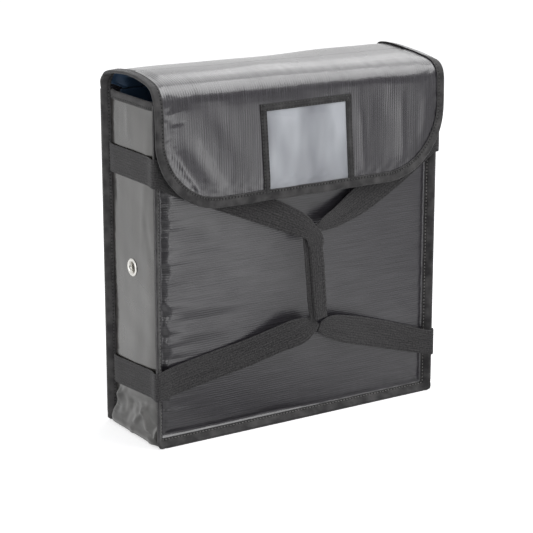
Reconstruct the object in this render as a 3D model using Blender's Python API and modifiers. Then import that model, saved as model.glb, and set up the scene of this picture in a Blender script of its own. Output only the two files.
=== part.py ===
"""Insulated bag for pizza boxes, standing upright on its bottom gusset.

Metres, +Z up.  The front of the bag faces -Y, and the origin lies on the flat underside of
the bottom gusset, midway across the bag.  Front and back panels are joined by one gusset
strip, the edges are bound with folded tape, and the back panel runs on over the mouth as a
flap that folds down over the front.  Two webbing straps go round the bag and meet in a grip.
"""

import math

import bmesh
import bpy
from mathutils import Matrix, Vector

# Driving dimensions of the body
PANEL_WIDTH = 0.432
BODY_DEPTH = 0.120
MOUTH_HEIGHT = 0.463
CORNER_RADIUS = 0.012

# Layers of a wall: coated cloth, foam and lining
SKIN = 0.0008
FOAM = 0.008
LINING = 0.0008
CLEAR = 0.0003

# Edge tape, and the seam flange that it folds over
TAPE = 0.0008
FLANGE_WIDTH = 0.0125
FLANGE_LEAN = math.radians(45)
MOUTH_TAPE_LEG = 0.0115
FLAP_TAPE_LEG = 0.0145

# How far the gusset swells outwards between its seams
SIDE_BULGE = 0.004
MOUTH_BULGE = 0.002
BULGE_REACH = 0.028
FOAM_CORNER_GAP = math.radians(12)

# Flap
FLAP_WIDTH = 0.454
FLAP_DROP = 0.1625
FLAP_CORNER_RADIUS = 0.095
FLAP_BACK_RISE = 0.024
FLAP_FRONT_RISE = 0.021
CROWN_RISE = 0.003
FLAP_BACK_RADIUS = 0.018
FLAP_FRONT_RADIUS = 0.020
FLAP_STANDOFF = 0.0175
FLAP_FLARE = 0.0065
FOLD_OFFSET = 0.0015
HELD_BAND = 0.0195
EDGE_SLOPE = 0.013
FOAM_SET_BACK = 0.009

# Clear ticket window on the flap
WINDOW_WIDTH = 0.125
WINDOW_TOP_GAP = 0.0152
WINDOW_TAPE_WIDTH = 0.0095
WINDOW_TAPE = 0.001
WINDOW_SHEET = 0.0005

# Hook and loop closure
CLOSURE_LENGTH = 0.230
CLOSURE_WIDTH = 0.025
CLOSURE_THICKNESS = 0.0018
CLOSURE_DROP = 0.0505

# Webbing straps and grip
WEBBING_WIDTH = 0.038
WEBBING = 0.0018
UPPER_BAND_DROP_LEFT = 0.090
UPPER_BAND_DROP_RIGHT = 0.094
LOWER_BAND_LEFT = 0.0876
LOWER_BAND_RIGHT = 0.071
GRIP_WIDTH = 0.026
GRIP_THICKNESS = 0.007
GRIP_LENGTH = 0.135
GRIP_DROP = 0.0429
GRIP_SHIFT = 0.0148
GRIP_LEAN = math.radians(5.1)
GRIP_STANDOFF = 0.0245
GRIP_BEVEL = 0.0024
ARM_END_WIDTH = 0.016
UPPER_ARM_SAG_LEFT = 0.0
UPPER_ARM_SAG_RIGHT = -0.012
LOWER_ARM_SAG_LEFT = -0.012
LOWER_ARM_SAG_RIGHT = -0.005

# Vent eyelet and its washer
EYELET_HOLE_RADIUS = 0.00625
EYELET_WALL = 0.0008
EYELET_FLANGE_RADIUS = 0.012
EYELET_RISE = 0.0022
EYELET_DEPTH_PLACE = 0.0
EYELET_HEIGHT = 0.2340
WASHER_RADIUS = 0.0110
WASHER_THICKNESS = 0.001

# Derived places
HALF_WIDTH = PANEL_WIDTH / 2
HALF_DEPTH = BODY_DEPTH / 2
HALF_FLAP = FLAP_WIDTH / 2
WALL = SKIN + CLEAR + FOAM + CLEAR + LINING
FOAM_FACE = SKIN + CLEAR
LINING_FACE = FOAM_FACE + FOAM + CLEAR
LAP = CLEAR / 2 + SKIN
TAPE_FACE = LAP + CLEAR + TAPE
LEAN_COS = math.cos(FLANGE_LEAN)
LEAN_SIN = math.sin(FLANGE_LEAN)
FLANGE_REACH = (FLANGE_WIDTH - TAPE) * LEAN_COS + TAPE_FACE * LEAN_SIN
SEAM_HEIGHT = FLANGE_REACH
BOTTOM_BULGE = SEAM_HEIGHT
CORNER_HEIGHT = SEAM_HEIGHT + CORNER_RADIUS
CORNER_REACH = HALF_WIDTH - CORNER_RADIUS
BAND_FOOT = MOUTH_HEIGHT - MOUTH_TAPE_LEG - 2 * LINING
FOAM_TOP = BAND_FOOT - 4 * LINING
LINING_SHOULDER = FOAM_TOP + CLEAR
FLAP_BACK_HEIGHT = MOUTH_HEIGHT + FLAP_BACK_RISE
FLAP_FRONT_HEIGHT = MOUTH_HEIGHT + FLAP_FRONT_RISE
FLAP_HEM_HEIGHT = FLAP_FRONT_HEIGHT - FLAP_DROP
BACK_TOP = FLAP_BACK_HEIGHT - FLAP_BACK_RADIUS
FRONT_FACE = HALF_DEPTH + FLAP_STANDOFF
SKIN_SPAN = HALF_DEPTH - LAP / LEAN_COS
WINDOW_FOOT = FLAP_HEM_HEIGHT + FLAP_TAPE_LEG + CLEAR
WINDOW_TOP = FLAP_FRONT_HEIGHT - FLAP_FRONT_RADIUS - WINDOW_TOP_GAP
WINDOW_HEIGHT = WINDOW_TOP - WINDOW_TAPE_WIDTH - WINDOW_FOOT
CLOSURE_HEIGHT = MOUTH_HEIGHT - CLOSURE_DROP
GRIP_HEIGHT = FLAP_HEM_HEIGHT - GRIP_DROP - GRIP_LENGTH / 2
UPPER_BAND_LEFT = MOUTH_HEIGHT - UPPER_BAND_DROP_LEFT
UPPER_BAND_RIGHT = MOUTH_HEIGHT - UPPER_BAND_DROP_RIGHT

# Gusset section: shares of the half depth, and of the bulge there
GUSSET_PLACE_SHARES = (-1.0, -0.82, -0.6, -0.35, 0.0, 0.35, 0.6, 0.82, 1.0)
GUSSET_RISE_SHARES = (0.0, 0.6, 0.9, 1.0, 1.0, 1.0, 0.9, 0.6, 0.0)

# Places across the flap near an edge, as shares of the band that the edge tape holds
COLUMN_SHARES = (0.0, 0.35, 0.7, 1.05, 1.4, 1.8, 2.4, 3.4, 5.0)

# Straps: where a band leaves the gusset, as a share of the half depth, places along an arm,
# and the share of an arm's length at which it starts to narrow towards the grip
BAND_CORNER_SHARE = 0.78
ARM_PLACE_SHARES = (0.0, 0.02, 0.05, 0.09, 0.16, 0.3, 0.42, 0.52, 0.62, 0.72, 0.82, 0.9, 0.96, 1.0)
ARM_TAPER_SHARE = 0.75

# Rolled face of an eyelet: shares of the way from its hole to its rim, and of its rise
EYELET_FACE_SHARES = ((0.0, 0.5), (0.14, 0.93), (0.4, 1.0), (0.75, 0.75), (1.0, 0.3))

# Counts and angles
CORNER_STEPS = 6
FLAP_CORNER_STEPS = 12
ARC_STEPS = 3
VENT_STEPS = 28
SPLIT_ANGLE = math.radians(45)


def new_collection(name):
    """A collection in the scene for the bag's parts or for its cutters."""
    collection = bpy.data.collections.new(name)
    bpy.context.scene.collection.children.link(collection)
    return collection


def material(name, colour, roughness, metallic=0.0, alpha=1.0):
    """A plain Principled material."""
    made = bpy.data.materials.new(name)
    made.use_nodes = True
    shader = made.node_tree.nodes["Principled BSDF"]
    shader.inputs["Base Color"].default_value = (*colour, 1.0)
    shader.inputs["Roughness"].default_value = roughness
    shader.inputs["Metallic"].default_value = metallic
    shader.inputs["Alpha"].default_value = alpha
    made.diffuse_color = (*colour, alpha)
    return made


def pivot(name, place, parent=None):
    """An empty that a body's pieces hang from, on the axis that the body moves about."""
    empty = bpy.data.objects.new(name, None)
    parts.objects.link(empty)
    empty.empty_display_size = HALF_DEPTH
    if parent is None:
        empty.location = place
    else:
        empty.parent = parent
        empty.location = Vector(place) - parent_place(parent)
    return empty


def parent_place(empty):
    """World place of an empty, added up along its parents."""
    place = Vector((0, 0, 0))
    while empty is not None:
        place += empty.location
        empty = empty.parent
    return place


def add_part(name, mesh, mat, holder):
    """A named part whose mesh was made in world places, hung from its holder."""
    mesh.transform(Matrix.Translation(-parent_place(holder)))
    mesh.materials.clear()
    mesh.materials.append(mat)
    part = bpy.data.objects.new(name, mesh)
    parts.objects.link(part)
    part.parent = holder
    return part


def solidify(part, thickness):
    """Gives a surface its thickness, away from the face that was laid out."""
    wall = part.modifiers.new("thickness", "SOLIDIFY")
    wall.thickness = thickness
    wall.offset = -1
    wall.use_even_offset = True
    wall.use_quality_normals = True
    return part


def sheet(name, rows, thickness, mat, holder, turned=False):
    """A cloth sheet: a grid laid on rows of points, with its thickness behind that face."""
    across = len(rows) - 1
    along = len(rows[0]) - 1
    bm = bmesh.new()
    bmesh.ops.create_grid(bm, x_segments=across, y_segments=along, size=0.5)
    for vert in bm.verts:
        i = round((vert.co.x + 0.5) * across)
        j = round((vert.co.y + 0.5) * along)
        vert.co = rows[i][j]
    if turned:
        bmesh.ops.reverse_faces(bm, faces=bm.faces)
    mesh = bpy.data.meshes.new(name)
    bm.to_mesh(mesh)
    bm.free()
    return solidify(add_part(name, mesh, mat, holder), thickness)


def smooth(share):
    """Smooth step from 0 to 1."""
    share = min(max(share, 0.0), 1.0)
    return share * share * (3 - 2 * share)


def mix(low, high, share):
    """The value at a share of the way from low to high."""
    return low + (high - low) * share


# The seam runs down one side, round the bottom corners and up the other side.  A station is
# (x, z, outward x, outward z, bulge), and places beside it are given as (outward, depth).


def bulge_near_corner(distance, target):
    """Bulge at a distance from a bottom corner, going over to the target value."""
    middle = (SIDE_BULGE + BOTTOM_BULGE) / 2
    return mix(middle, target, smooth(distance / BULGE_REACH))


def side_station(side, height):
    """A station on the left (-1) or right (+1) side."""
    bulge = bulge_near_corner(height - CORNER_HEIGHT, SIDE_BULGE)
    near_mouth = smooth((height - (MOUTH_HEIGHT - BULGE_REACH)) / BULGE_REACH)
    return (side * HALF_WIDTH, height, side, 0.0, mix(bulge, MOUTH_BULGE, near_mouth))


def corner_station(side, angle):
    """A station on a bottom corner, at an angle down from level."""
    out_x = side * math.cos(angle)
    out_z = -math.sin(angle)
    middle = (SIDE_BULGE + BOTTOM_BULGE) / 2
    x = side * CORNER_REACH + CORNER_RADIUS * out_x
    return (x, CORNER_HEIGHT + CORNER_RADIUS * out_z, out_x, out_z, middle)


def bottom_station(x):
    """A station on the bottom."""
    return (x, SEAM_HEIGHT, 0.0, -1.0, bulge_near_corner(CORNER_REACH - abs(x), BOTTOM_BULGE))


def side_heights(top, low=CORNER_HEIGHT):
    """Heights of the side stations, from the top down."""
    places = [top]
    for height in (BAND_FOOT, LINING_SHOULDER, FOAM_TOP - LINING, MOUTH_HEIGHT - BULGE_REACH,
                   EYELET_HEIGHT, CORNER_HEIGHT + BULGE_REACH, CORNER_HEIGHT + BULGE_REACH / 2, low):
        if height < top - CLEAR:
            places.append(height)
    return places


def half_seam(side, top, last_angle=math.pi / 2, steps=CORNER_STEPS):
    """Stations from the top of one side down to the end of its bottom corner."""
    made = [side_station(side, height) for height in side_heights(top)]
    made += [corner_station(side, last_angle * step / steps) for step in range(1, steps + 1)]
    return made


def bottom_run():
    """Stations along the bottom, between the corners."""
    inner = CORNER_REACH - BULGE_REACH
    middle = CORNER_REACH - BULGE_REACH / 2
    return [bottom_station(x) for x in (-middle, -inner, 0.0, inner, middle)]


def whole_seam(top):
    """Stations down the left side, along the bottom and up the right side."""
    return half_seam(-1, top) + bottom_run() + half_seam(1, top)[::-1]


def beside(station, outward, depth):
    """The point at a distance outwards and a depth from a station."""
    x, z, out_x, out_z, _ = station
    return Vector((x + out_x * outward, depth, z + out_z * outward))


def flange_place(side, along, apart):
    """(outward, depth) of a point on the leaning seam flange of the front (-1) or back (+1)."""
    outward = along * LEAN_COS - apart * LEAN_SIN
    depth = side * (HALF_DEPTH + along * LEAN_SIN + apart * LEAN_COS)
    return outward, depth


def gusset_section(bulge, face, span):
    """(outward, depth) points of the swollen gusset, a distance inside its outer face.

    The outer face is a line through the shares of place and rise.  The line inside it is set
    in square to each stretch, and its ends are drawn to the given span.
    """
    outer = [Vector((place * SKIN_SPAN, rise * bulge))
             for place, rise in zip(GUSSET_PLACE_SHARES, GUSSET_RISE_SHARES)]
    square = []
    for start, end in zip(outer, outer[1:]):
        run = (end - start).normalized()
        square.append(Vector((-run.y, run.x)))
    inner = []
    for index, point in enumerate(outer):
        before = square[max(index - 1, 0)]
        after = square[min(index, len(square) - 1)]
        middle = (before + after).normalized()
        inner.append(point - middle * face / middle.dot(after))
    for end, near, depth in ((0, 1, -span), (-1, -2, span)):
        run = inner[near] - inner[end]
        inner[end] = inner[end] + run * (depth - inner[end].x) / run.x
    return [(point.y, point.x) for point in inner]


def gusset_rows(stations, face, span, flanges=False):
    """Rows of the gusset strip at a distance inside its outer face."""
    rows = []
    skin_width = FLANGE_WIDTH - TAPE - CLEAR
    for station in stations:
        row = [beside(station, *place) for place in gusset_section(station[4], face, span)]
        if flanges:
            row.insert(0, beside(station, *flange_place(-1, skin_width, -LAP)))
            row.append(beside(station, *flange_place(1, skin_width, -LAP)))
        rows.append(row)
    return rows


def seam_outline(top, inset):
    """Points of a flat panel's outline in x and z, inside the seam by an inset."""
    points = [beside(station, -inset, 0.0) for station in whole_seam(top)]
    return [(point.x, point.z) for point in points]


def flat_panel(name, outline, place, thickness, mat, holder, lean=math.pi / 2):
    """A flat piece cut to an outline: a filled curve with a little thickness, stood upright."""
    curve = bpy.data.curves.new(name, "CURVE")
    curve.dimensions = "2D"
    curve.fill_mode = "BOTH"
    curve.extrude = thickness / 2
    spline = curve.splines.new("POLY")
    spline.points.add(len(outline) - 1)
    for point, (x, z) in zip(spline.points, outline):
        point.co = (x, z, 0.0, 1.0)
    spline.use_cyclic_u = True
    curve.materials.append(mat)
    panel = bpy.data.objects.new(name, curve)
    parts.objects.link(panel)
    panel.parent = holder
    panel.location = Vector(place) - parent_place(holder)
    panel.rotation_euler = (lean, 0.0, 0.0)
    return panel


def outer_panel(name, side, top, arc_rows, mat):
    """A panel's coated cloth: flat, with its edges turned out into the seam flange.

    The top edge is drawn on over the rows of arc_rows, where there are any.
    """
    stations = whole_seam(top)
    bend = LAP / LEAN_SIN
    skin_width = FLANGE_WIDTH - TAPE - CLEAR
    bm = bmesh.new()
    inner = [bm.verts.new(beside(s, -bend, side * HALF_DEPTH)) for s in stations]
    tips = [beside(s, *flange_place(side, skin_width, LAP)) for s in stations]
    bm.faces.new(inner)
    top_edge = bm.edges.get((inner[0], inner[-1]))
    seam_edges = [edge for edge in bm.edges if edge != top_edge]
    order = {vert.co.to_tuple(6): index for index, vert in enumerate(inner)}
    turned = bmesh.ops.extrude_edge_only(bm, edges=seam_edges)["geom"]
    for vert in [item for item in turned if isinstance(item, bmesh.types.BMVert)]:
        vert.co = tips[order[vert.co.to_tuple(6)]]
    edge = top_edge
    for half, y, z in arc_rows:
        grown = bmesh.ops.extrude_edge_only(bm, edges=[edge])["geom"]
        edge = [item for item in grown if isinstance(item, bmesh.types.BMEdge)
                and len(item.link_faces) == 1 and all(v in grown for v in item.verts)][0]
        for vert in edge.verts:
            vert.co = (math.copysign(half, vert.co.x), y, z)
    bmesh.ops.recalc_face_normals(bm, faces=bm.faces)
    middle_face = max(bm.faces, key=lambda face: face.calc_area())
    if middle_face.normal.y * side < 0:
        bmesh.ops.reverse_faces(bm, faces=bm.faces)
    mesh = bpy.data.meshes.new(name)
    bm.to_mesh(mesh)
    bm.free()
    return solidify(add_part(name, mesh, mat, bag_frame), SKIN)


def seam_tape(name, side, top):
    """Tape folded over a panel's seam flange, down one side, along the bottom and up."""
    root = TAPE
    near_tip = FLANGE_WIDTH - TAPE
    flat = LAP + CLEAR
    section = ((root, TAPE_FACE), (near_tip, TAPE_FACE), (FLANGE_WIDTH, flat),
               (FLANGE_WIDTH, -flat), (near_tip, -TAPE_FACE), (root, -TAPE_FACE))
    rows = []
    for station in whole_seam(top):
        rows.append([beside(station, *flange_place(side, along, apart)) for along, apart in section])
    return sheet(name, rows, TAPE, tape_cloth, bag_frame, turned=side < 0)


# The flap's profile, from the back panel up, over the crown and down the front.  A point is
# (y, z, outward y, outward z), and the layers of the flap lie inside it.


def back_arc(angle):
    """A point on the bend above the back panel, at an angle up from level."""
    centre_y = HALF_DEPTH - FLAP_BACK_RADIUS
    out_y = math.cos(angle)
    out_z = math.sin(angle)
    return (centre_y + FLAP_BACK_RADIUS * out_y, BACK_TOP + FLAP_BACK_RADIUS * out_z, out_y, out_z)


def front_arc(angle):
    """A point on the bend at the front, at an angle past the top."""
    centre_y = -FRONT_FACE + FLAP_FRONT_RADIUS
    centre_z = FLAP_FRONT_HEIGHT - FLAP_FRONT_RADIUS
    out_y = -math.sin(angle)
    out_z = math.cos(angle)
    return (centre_y + FLAP_FRONT_RADIUS * out_y, centre_z + FLAP_FRONT_RADIUS * out_z, out_y, out_z)


def crown_points(steps=6):
    """Points along the crown, between the two bends."""
    start = back_arc(math.pi / 2)
    end = front_arc(0.0)
    points = []
    for step in range(1, steps):
        share = step / steps
        y = mix(start[0], end[0], share)
        z = mix(start[1], end[1], share) + 4 * CROWN_RISE * share * (1 - share)
        points.append((y, z, 0.0, 1.0))
    return points


def front_point(height):
    """A point on the flap's flared front, at a height."""
    top = FLAP_FRONT_HEIGHT - FLAP_FRONT_RADIUS
    share = (top - height) / (top - FLAP_HEM_HEIGHT)
    slope = math.hypot(FLAP_FLARE, top - FLAP_HEM_HEIGHT)
    out_z = FLAP_FLARE / slope
    out_y = -(top - FLAP_HEM_HEIGHT) / slope
    return (-FRONT_FACE - FLAP_FLARE * share, height, out_y, out_z)


def flap_profile(section):
    """(profile point, half width) pairs of the top or the front section of the flap."""
    if section == "top":
        start = SPLIT_ANGLE + CLEAR / (FLAP_BACK_RADIUS - WALL)
        points = [back_arc(mix(start, math.pi / 2, step / ARC_STEPS)) for step in range(ARC_STEPS + 1)]
        points += crown_points()
        points += [front_arc(SPLIT_ANGLE * step / ARC_STEPS) for step in range(ARC_STEPS + 1)]
        return [(point, HALF_FLAP) for point in points]
    start = SPLIT_ANGLE + CLEAR / (FLAP_FRONT_RADIUS - WALL)
    points = []
    for step in range(ARC_STEPS + 1):
        points.append((front_arc(mix(start, math.pi / 2, step / ARC_STEPS)), HALF_FLAP))
    corner_top = FLAP_HEM_HEIGHT + FLAP_CORNER_RADIUS
    for step in range(FLAP_CORNER_STEPS + 1):
        angle = math.pi / 2 * step / FLAP_CORNER_STEPS
        height = corner_top - FLAP_CORNER_RADIUS * math.sin(angle)
        half = HALF_FLAP - FLAP_CORNER_RADIUS + FLAP_CORNER_RADIUS * math.cos(angle)
        points.append((front_point(height), half))
    return points


def inside(point, x, depth):
    """The point under a profile point, a depth inside the flap's outer face."""
    y, z, out_y, out_z = point
    return Vector((x, y - out_y * depth, z - out_z * depth))


def edge_distance(section, x, height):
    """How far a place on the flap lies from its bound edge."""
    to_side = HALF_FLAP - abs(x)
    if section == "top":
        return to_side
    to_hem = height - FLAP_HEM_HEIGHT
    past_side = FLAP_CORNER_RADIUS - to_side
    past_hem = FLAP_CORNER_RADIUS - to_hem
    if past_side > 0 and past_hem > 0:
        return FLAP_CORNER_RADIUS - math.hypot(past_side, past_hem)
    return min(to_side, to_hem)


def flap_columns(half):
    """Places across the flap, close together where the edge tape holds it."""
    edge = half - CLEAR
    insets = [share * HELD_BAND for share in COLUMN_SHARES]
    return [inset - edge for inset in insets] + [0.0] + [edge - inset for inset in reversed(insets)]


def flap_skin(name, section, holder):
    """Coated cloth on the outside of a section of the flap."""
    rows = []
    for point, half in flap_profile(section):
        edge = half - CLEAR
        rows.append([inside(point, x, 0.0) for x in (-edge, -edge / 2, 0.0, edge / 2, edge)])
    return sheet(name, rows, SKIN, coated_cloth, holder)


def flap_lining(name, section, holder):
    """Lining of a section of the flap, drawn up to the skin where the edge tape holds both."""
    rows = []
    for point, half in flap_profile(section):
        row = []
        for x in flap_columns(half):
            loose = smooth((edge_distance(section, x, point[1]) - HELD_BAND) / EDGE_SLOPE)
            row.append(inside(point, x, mix(FOAM_FACE, LINING_FACE, loose)))
        rows.append(row)
    return sheet(name, rows, LINING, lining_cloth, holder)


def flap_foam(name, section, holder):
    """Foam sheet inside a section of the flap, short of the folds and of the bound edges."""
    inset = HELD_BAND + EDGE_SLOPE + FOAM_SET_BACK
    rows = []
    if section == "top":
        for point in [back_arc(math.pi / 2)] + crown_points() + [front_arc(0.0)]:
            foot = HALF_FLAP - inset
            rows.append([inside(point, x, FOAM_FACE) for x in (-foot, 0.0, foot)])
        return sheet(name, rows, FOAM, foam_sheet, holder)
    corner_top = FLAP_HEM_HEIGHT + FLAP_CORNER_RADIUS
    radius = FLAP_CORNER_RADIUS - inset
    rows.append((FLAP_FRONT_HEIGHT - FLAP_FRONT_RADIUS, HALF_FLAP - inset))
    for step in range(CORNER_STEPS + 1):
        angle = math.pi / 2 * step / CORNER_STEPS
        rows.append((corner_top - radius * math.sin(angle),
                     HALF_FLAP - FLAP_CORNER_RADIUS + radius * math.cos(angle)))
    rows = [[inside(front_point(height), x, FOAM_FACE) for x in (-foot, 0.0, foot)]
            for height, foot in rows]
    return sheet(name, rows, FOAM, foam_sheet, holder)


def edge_tape_row(point, place, outward_x, outward_y, outward_z):
    """One section of the tape folded over the flap's edge."""
    lip = CLEAR + TAPE
    under = FOAM_FACE + LINING + CLEAR + TAPE
    section = ((-FLAP_TAPE_LEG, -lip), (lip - TAPE, -lip), (lip, -lip + TAPE),
               (lip, under - TAPE), (lip - TAPE, under), (-FLAP_TAPE_LEG, under))
    row = []
    for along, depth in section:
        spot = inside(point, place, depth)
        spot += Vector((outward_x, outward_y, outward_z)) * along
        row.append(spot)
    return row


def flap_side_tape(name, side):
    """Tape on one side edge of the flap's top section."""
    rows = [edge_tape_row(point, side * half, side, 0.0, 0.0) for point, half in flap_profile("top")]
    return sheet(name, rows, TAPE, tape_cloth, flap_top_pivot, turned=side < 0)


def flap_hem_tape(name):
    """Tape down one side of the flap's front, round both corners and up the other side."""
    left = []
    corner_top = FLAP_HEM_HEIGHT + FLAP_CORNER_RADIUS
    for point, half in flap_profile("front"):
        angle = 0.0
        if point[1] < corner_top:
            angle = math.asin(min(1.0, (corner_top - point[1]) / FLAP_CORNER_RADIUS))
        down_y, down_z = -point[3] * math.sin(angle), point[2] * math.sin(angle)
        left.append((point, half, math.cos(angle), down_y, down_z))
    rows = [edge_tape_row(p, -half, -x, y, z) for p, half, x, y, z in left]
    rows += [edge_tape_row(p, half, x, y, z) for p, half, x, y, z in reversed(left)]
    return sheet(name, rows, TAPE, tape_cloth, flap_front_pivot, turned=True)


def face_box(name, size, place, tilt, mat, holder):
    """A thin slab laid on a face, as a box turned by the face's tilt."""
    bpy.ops.mesh.primitive_cube_add(size=1.0)
    slab = bpy.context.object
    slab.name = name
    slab.data.name = name
    for collection in list(slab.users_collection):
        collection.objects.unlink(slab)
    parts.objects.link(slab)
    for vert in slab.data.vertices:
        vert.co = [share * length for share, length in zip(vert.co, size)]
    slab.data.materials.append(mat)
    slab.parent = holder
    slab.location = Vector(place) - parent_place(holder)
    slab.rotation_euler = (tilt, 0.0, 0.0)
    return slab


# Straps


def wrap_plan(side):
    """(outward, depth) of a strap's inner face as it goes over the front or back flange."""
    over = HALF_DEPTH + FLANGE_REACH + CLEAR
    reach = FLANGE_REACH + CLEAR
    chamfer = TAPE_FACE
    start = FLANGE_REACH - 2 * chamfer
    return ((start, side * over), (reach - chamfer, side * over), (reach, side * (over - chamfer)))


def band_plan():
    """Plan of a strap band's inner face, as (x, y, share along), left front to right front."""
    on_gusset = SIDE_BULGE + 2 * CLEAR
    gusset_half = HALF_DEPTH * BAND_CORNER_SHARE
    on_back = HALF_DEPTH + CLEAR
    left = [*wrap_plan(-1), (FLANGE_REACH, -HALF_DEPTH - FLANGE_REACH / 2),
            (on_gusset, -gusset_half), (on_gusset, 0.0), (on_gusset, gusset_half),
            (FLANGE_REACH, HALF_DEPTH + FLANGE_REACH / 2), *reversed(wrap_plan(1)),
            (-CORNER_RADIUS - CLEAR, on_back), (-HALF_WIDTH / 2, on_back)]
    plan = [(-HALF_WIDTH - outward, depth) for outward, depth in left]
    plan += [(HALF_WIDTH + outward, depth) for outward, depth in reversed(left)]
    return plan


def strap_band(name, height_left, height_right):
    """A webbing band over one gusset, across the back and over the other gusset."""
    plan = band_plan()
    lengths = [0.0]
    for start, end in zip(plan, plan[1:]):
        lengths.append(lengths[-1] + math.dist(start, end))
    rows = []
    for (x, y), length in zip(plan, lengths):
        height = mix(height_left, height_right, length / lengths[-1])
        rows.append([Vector((x, y, height + share * WEBBING_WIDTH)) for share in (-0.5, 0.5)])
    return sheet(name, rows, WEBBING, webbing, bag_frame)


def arm_depth(x):
    """How far in front of the bag's middle an arm's inner face lies at a place across."""
    over = HALF_DEPTH + FLANGE_REACH + CLEAR
    low = HALF_DEPTH + 2 * CLEAR
    away = abs(x) - HALF_WIDTH
    if away > -CORNER_RADIUS:
        return mix(low + TAPE, over, smooth((away + CORNER_RADIUS) / (CORNER_RADIUS + FLANGE_REACH / 3)))
    share = 1 - (abs(x - GRIP_SHIFT) - GRIP_WIDTH) / (HALF_WIDTH / 2)
    return mix(low + TAPE, HALF_DEPTH + GRIP_STANDOFF - WEBBING / 2, smooth(share))


def strap_arm(name, side, start_height, end_height, sag):
    """A webbing arm from the flange of the bag to one end of the grip."""
    start_x = side * (HALF_WIDTH + wrap_plan(-1)[0][0] - CLEAR)
    lean = math.tan(GRIP_LEAN)
    far = GRIP_LENGTH / 2 * math.copysign(1, end_height - GRIP_HEIGHT)
    edge_shift = abs(far * lean) if side * far < 0 else -abs((abs(far) - ARM_END_WIDTH) * lean)
    end_x = GRIP_SHIFT + side * (GRIP_WIDTH / 2 / math.cos(GRIP_LEAN) + edge_shift + CLEAR)
    slope = (end_height - start_height) / (end_x - start_x)
    full = WEBBING_WIDTH / math.cos(math.atan(slope))
    rows = []
    for share in ARM_PLACE_SHARES:
        x = mix(start_x, end_x, share)
        z = mix(start_height, end_height, share) + 4 * sag * share * (1 - share)
        height = mix(full, ARM_END_WIDTH, smooth((share - ARM_TAPER_SHARE) / (1 - ARM_TAPER_SHARE)))
        rows.append([Vector((x, -arm_depth(x), z + place * height)) for place in (-0.5, 0.0, 0.5)])
    return sheet(name, rows, WEBBING, webbing, handle_slide, turned=side < 0)


# Vents


def turned_ring(name, side, profile, mat):
    """A ring turned about the vent's axis, from a profile of (radius, outward) points."""
    mesh = bpy.data.meshes.new(name)
    bm = bmesh.new()
    verts = [bm.verts.new((radius, 0.0, outward)) for radius, outward in profile]
    for start, end in zip(verts, verts[1:] + verts[:1]):
        bm.edges.new((start, end))
    bm.to_mesh(mesh)
    bm.free()
    mesh.materials.append(mat)
    ring = bpy.data.objects.new(name, mesh)
    parts.objects.link(ring)
    ring.parent = bag_frame
    ring.location = vent_place(side)
    ring.rotation_euler = (0.0, side * math.pi / 2, 0.0)
    turn = ring.modifiers.new("turn", "SCREW")
    turn.steps = VENT_STEPS
    turn.render_steps = VENT_STEPS
    turn.use_merge_vertices = True
    turn.merge_threshold = CLEAR / VENT_STEPS
    return ring


def vent_place(side):
    """The middle of a vent, on the outer face of the gusset."""
    return Vector((side * (HALF_WIDTH + SIDE_BULGE), EYELET_DEPTH_PLACE, EYELET_HEIGHT))


def vent_cutter(side, radius):
    """A round cutter through the gusset's wall at a vent."""
    bpy.ops.mesh.primitive_cylinder_add(vertices=VENT_STEPS, radius=radius, depth=6 * WALL)
    cutter = bpy.context.object
    cutter.name = f"vent_cutter_{side}"
    for collection in list(cutter.users_collection):
        collection.objects.unlink(cutter)
    cutters.objects.link(cutter)
    cutter.location = vent_place(side)
    cutter.rotation_euler = (0.0, math.pi / 2, 0.0)
    cutter.hide_render = True
    cutter.display_type = "WIRE"
    return cutter


def cut(part, cutter):
    """Cuts a hole in a part."""
    hole = part.modifiers.new("hole", "BOOLEAN")
    hole.operation = "DIFFERENCE"
    hole.solver = "EXACT"
    hole.object = cutter


# Build

for old in list(bpy.data.objects):
    bpy.data.objects.remove(old, do_unlink=True)

parts = new_collection("pizza_delivery_bag")
cutters = new_collection("cutters")

coated_cloth = material("coated_cloth", (0.045, 0.044, 0.047), 0.42)
lining_cloth = material("lining_cloth", (0.012, 0.024, 0.045), 0.55)
foam_sheet = material("foam_sheet", (0.62, 0.62, 0.60), 0.9)
tape_cloth = material("tape_cloth", (0.020, 0.019, 0.020), 0.75)
webbing = material("webbing", (0.030, 0.029, 0.030), 0.85)
clear_vinyl = material("clear_vinyl", (0.50, 0.52, 0.55), 0.15, alpha=0.35)
nickel = material("nickel", (0.75, 0.74, 0.70), 0.22, metallic=1.0)
closure_pile = material("closure_pile", (0.015, 0.015, 0.015), 0.95)

hinge_point = back_arc(SPLIT_ANGLE)
fold_point = front_arc(SPLIT_ANGLE)
hinge_place = inside(hinge_point, 0.0, -FOLD_OFFSET)
fold_place = inside(fold_point, 0.0, -FOLD_OFFSET)
grip_place = Vector((GRIP_SHIFT, -HALF_DEPTH - GRIP_STANDOFF, GRIP_HEIGHT))

bag_frame = pivot("bag_frame", (0.0, 0.0, 0.0))
flap_top_pivot = pivot("flap_top_pivot", hinge_place, bag_frame)
flap_front_pivot = pivot("flap_front_pivot", fold_place, flap_top_pivot)
handle_slide = pivot("handle_slide", grip_place, bag_frame)

# Front panel: coated cloth, foam and lining
outer_panel("front_outer_panel", -1, MOUTH_HEIGHT - TAPE - CLEAR, [], coated_cloth)
foam_middle = HALF_DEPTH - FOAM_FACE - FOAM / 2
flat_panel("front_foam", seam_outline(FOAM_TOP, FOAM_FACE), (0.0, -foam_middle, 0.0), FOAM, foam_sheet,
           bag_frame)

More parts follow.
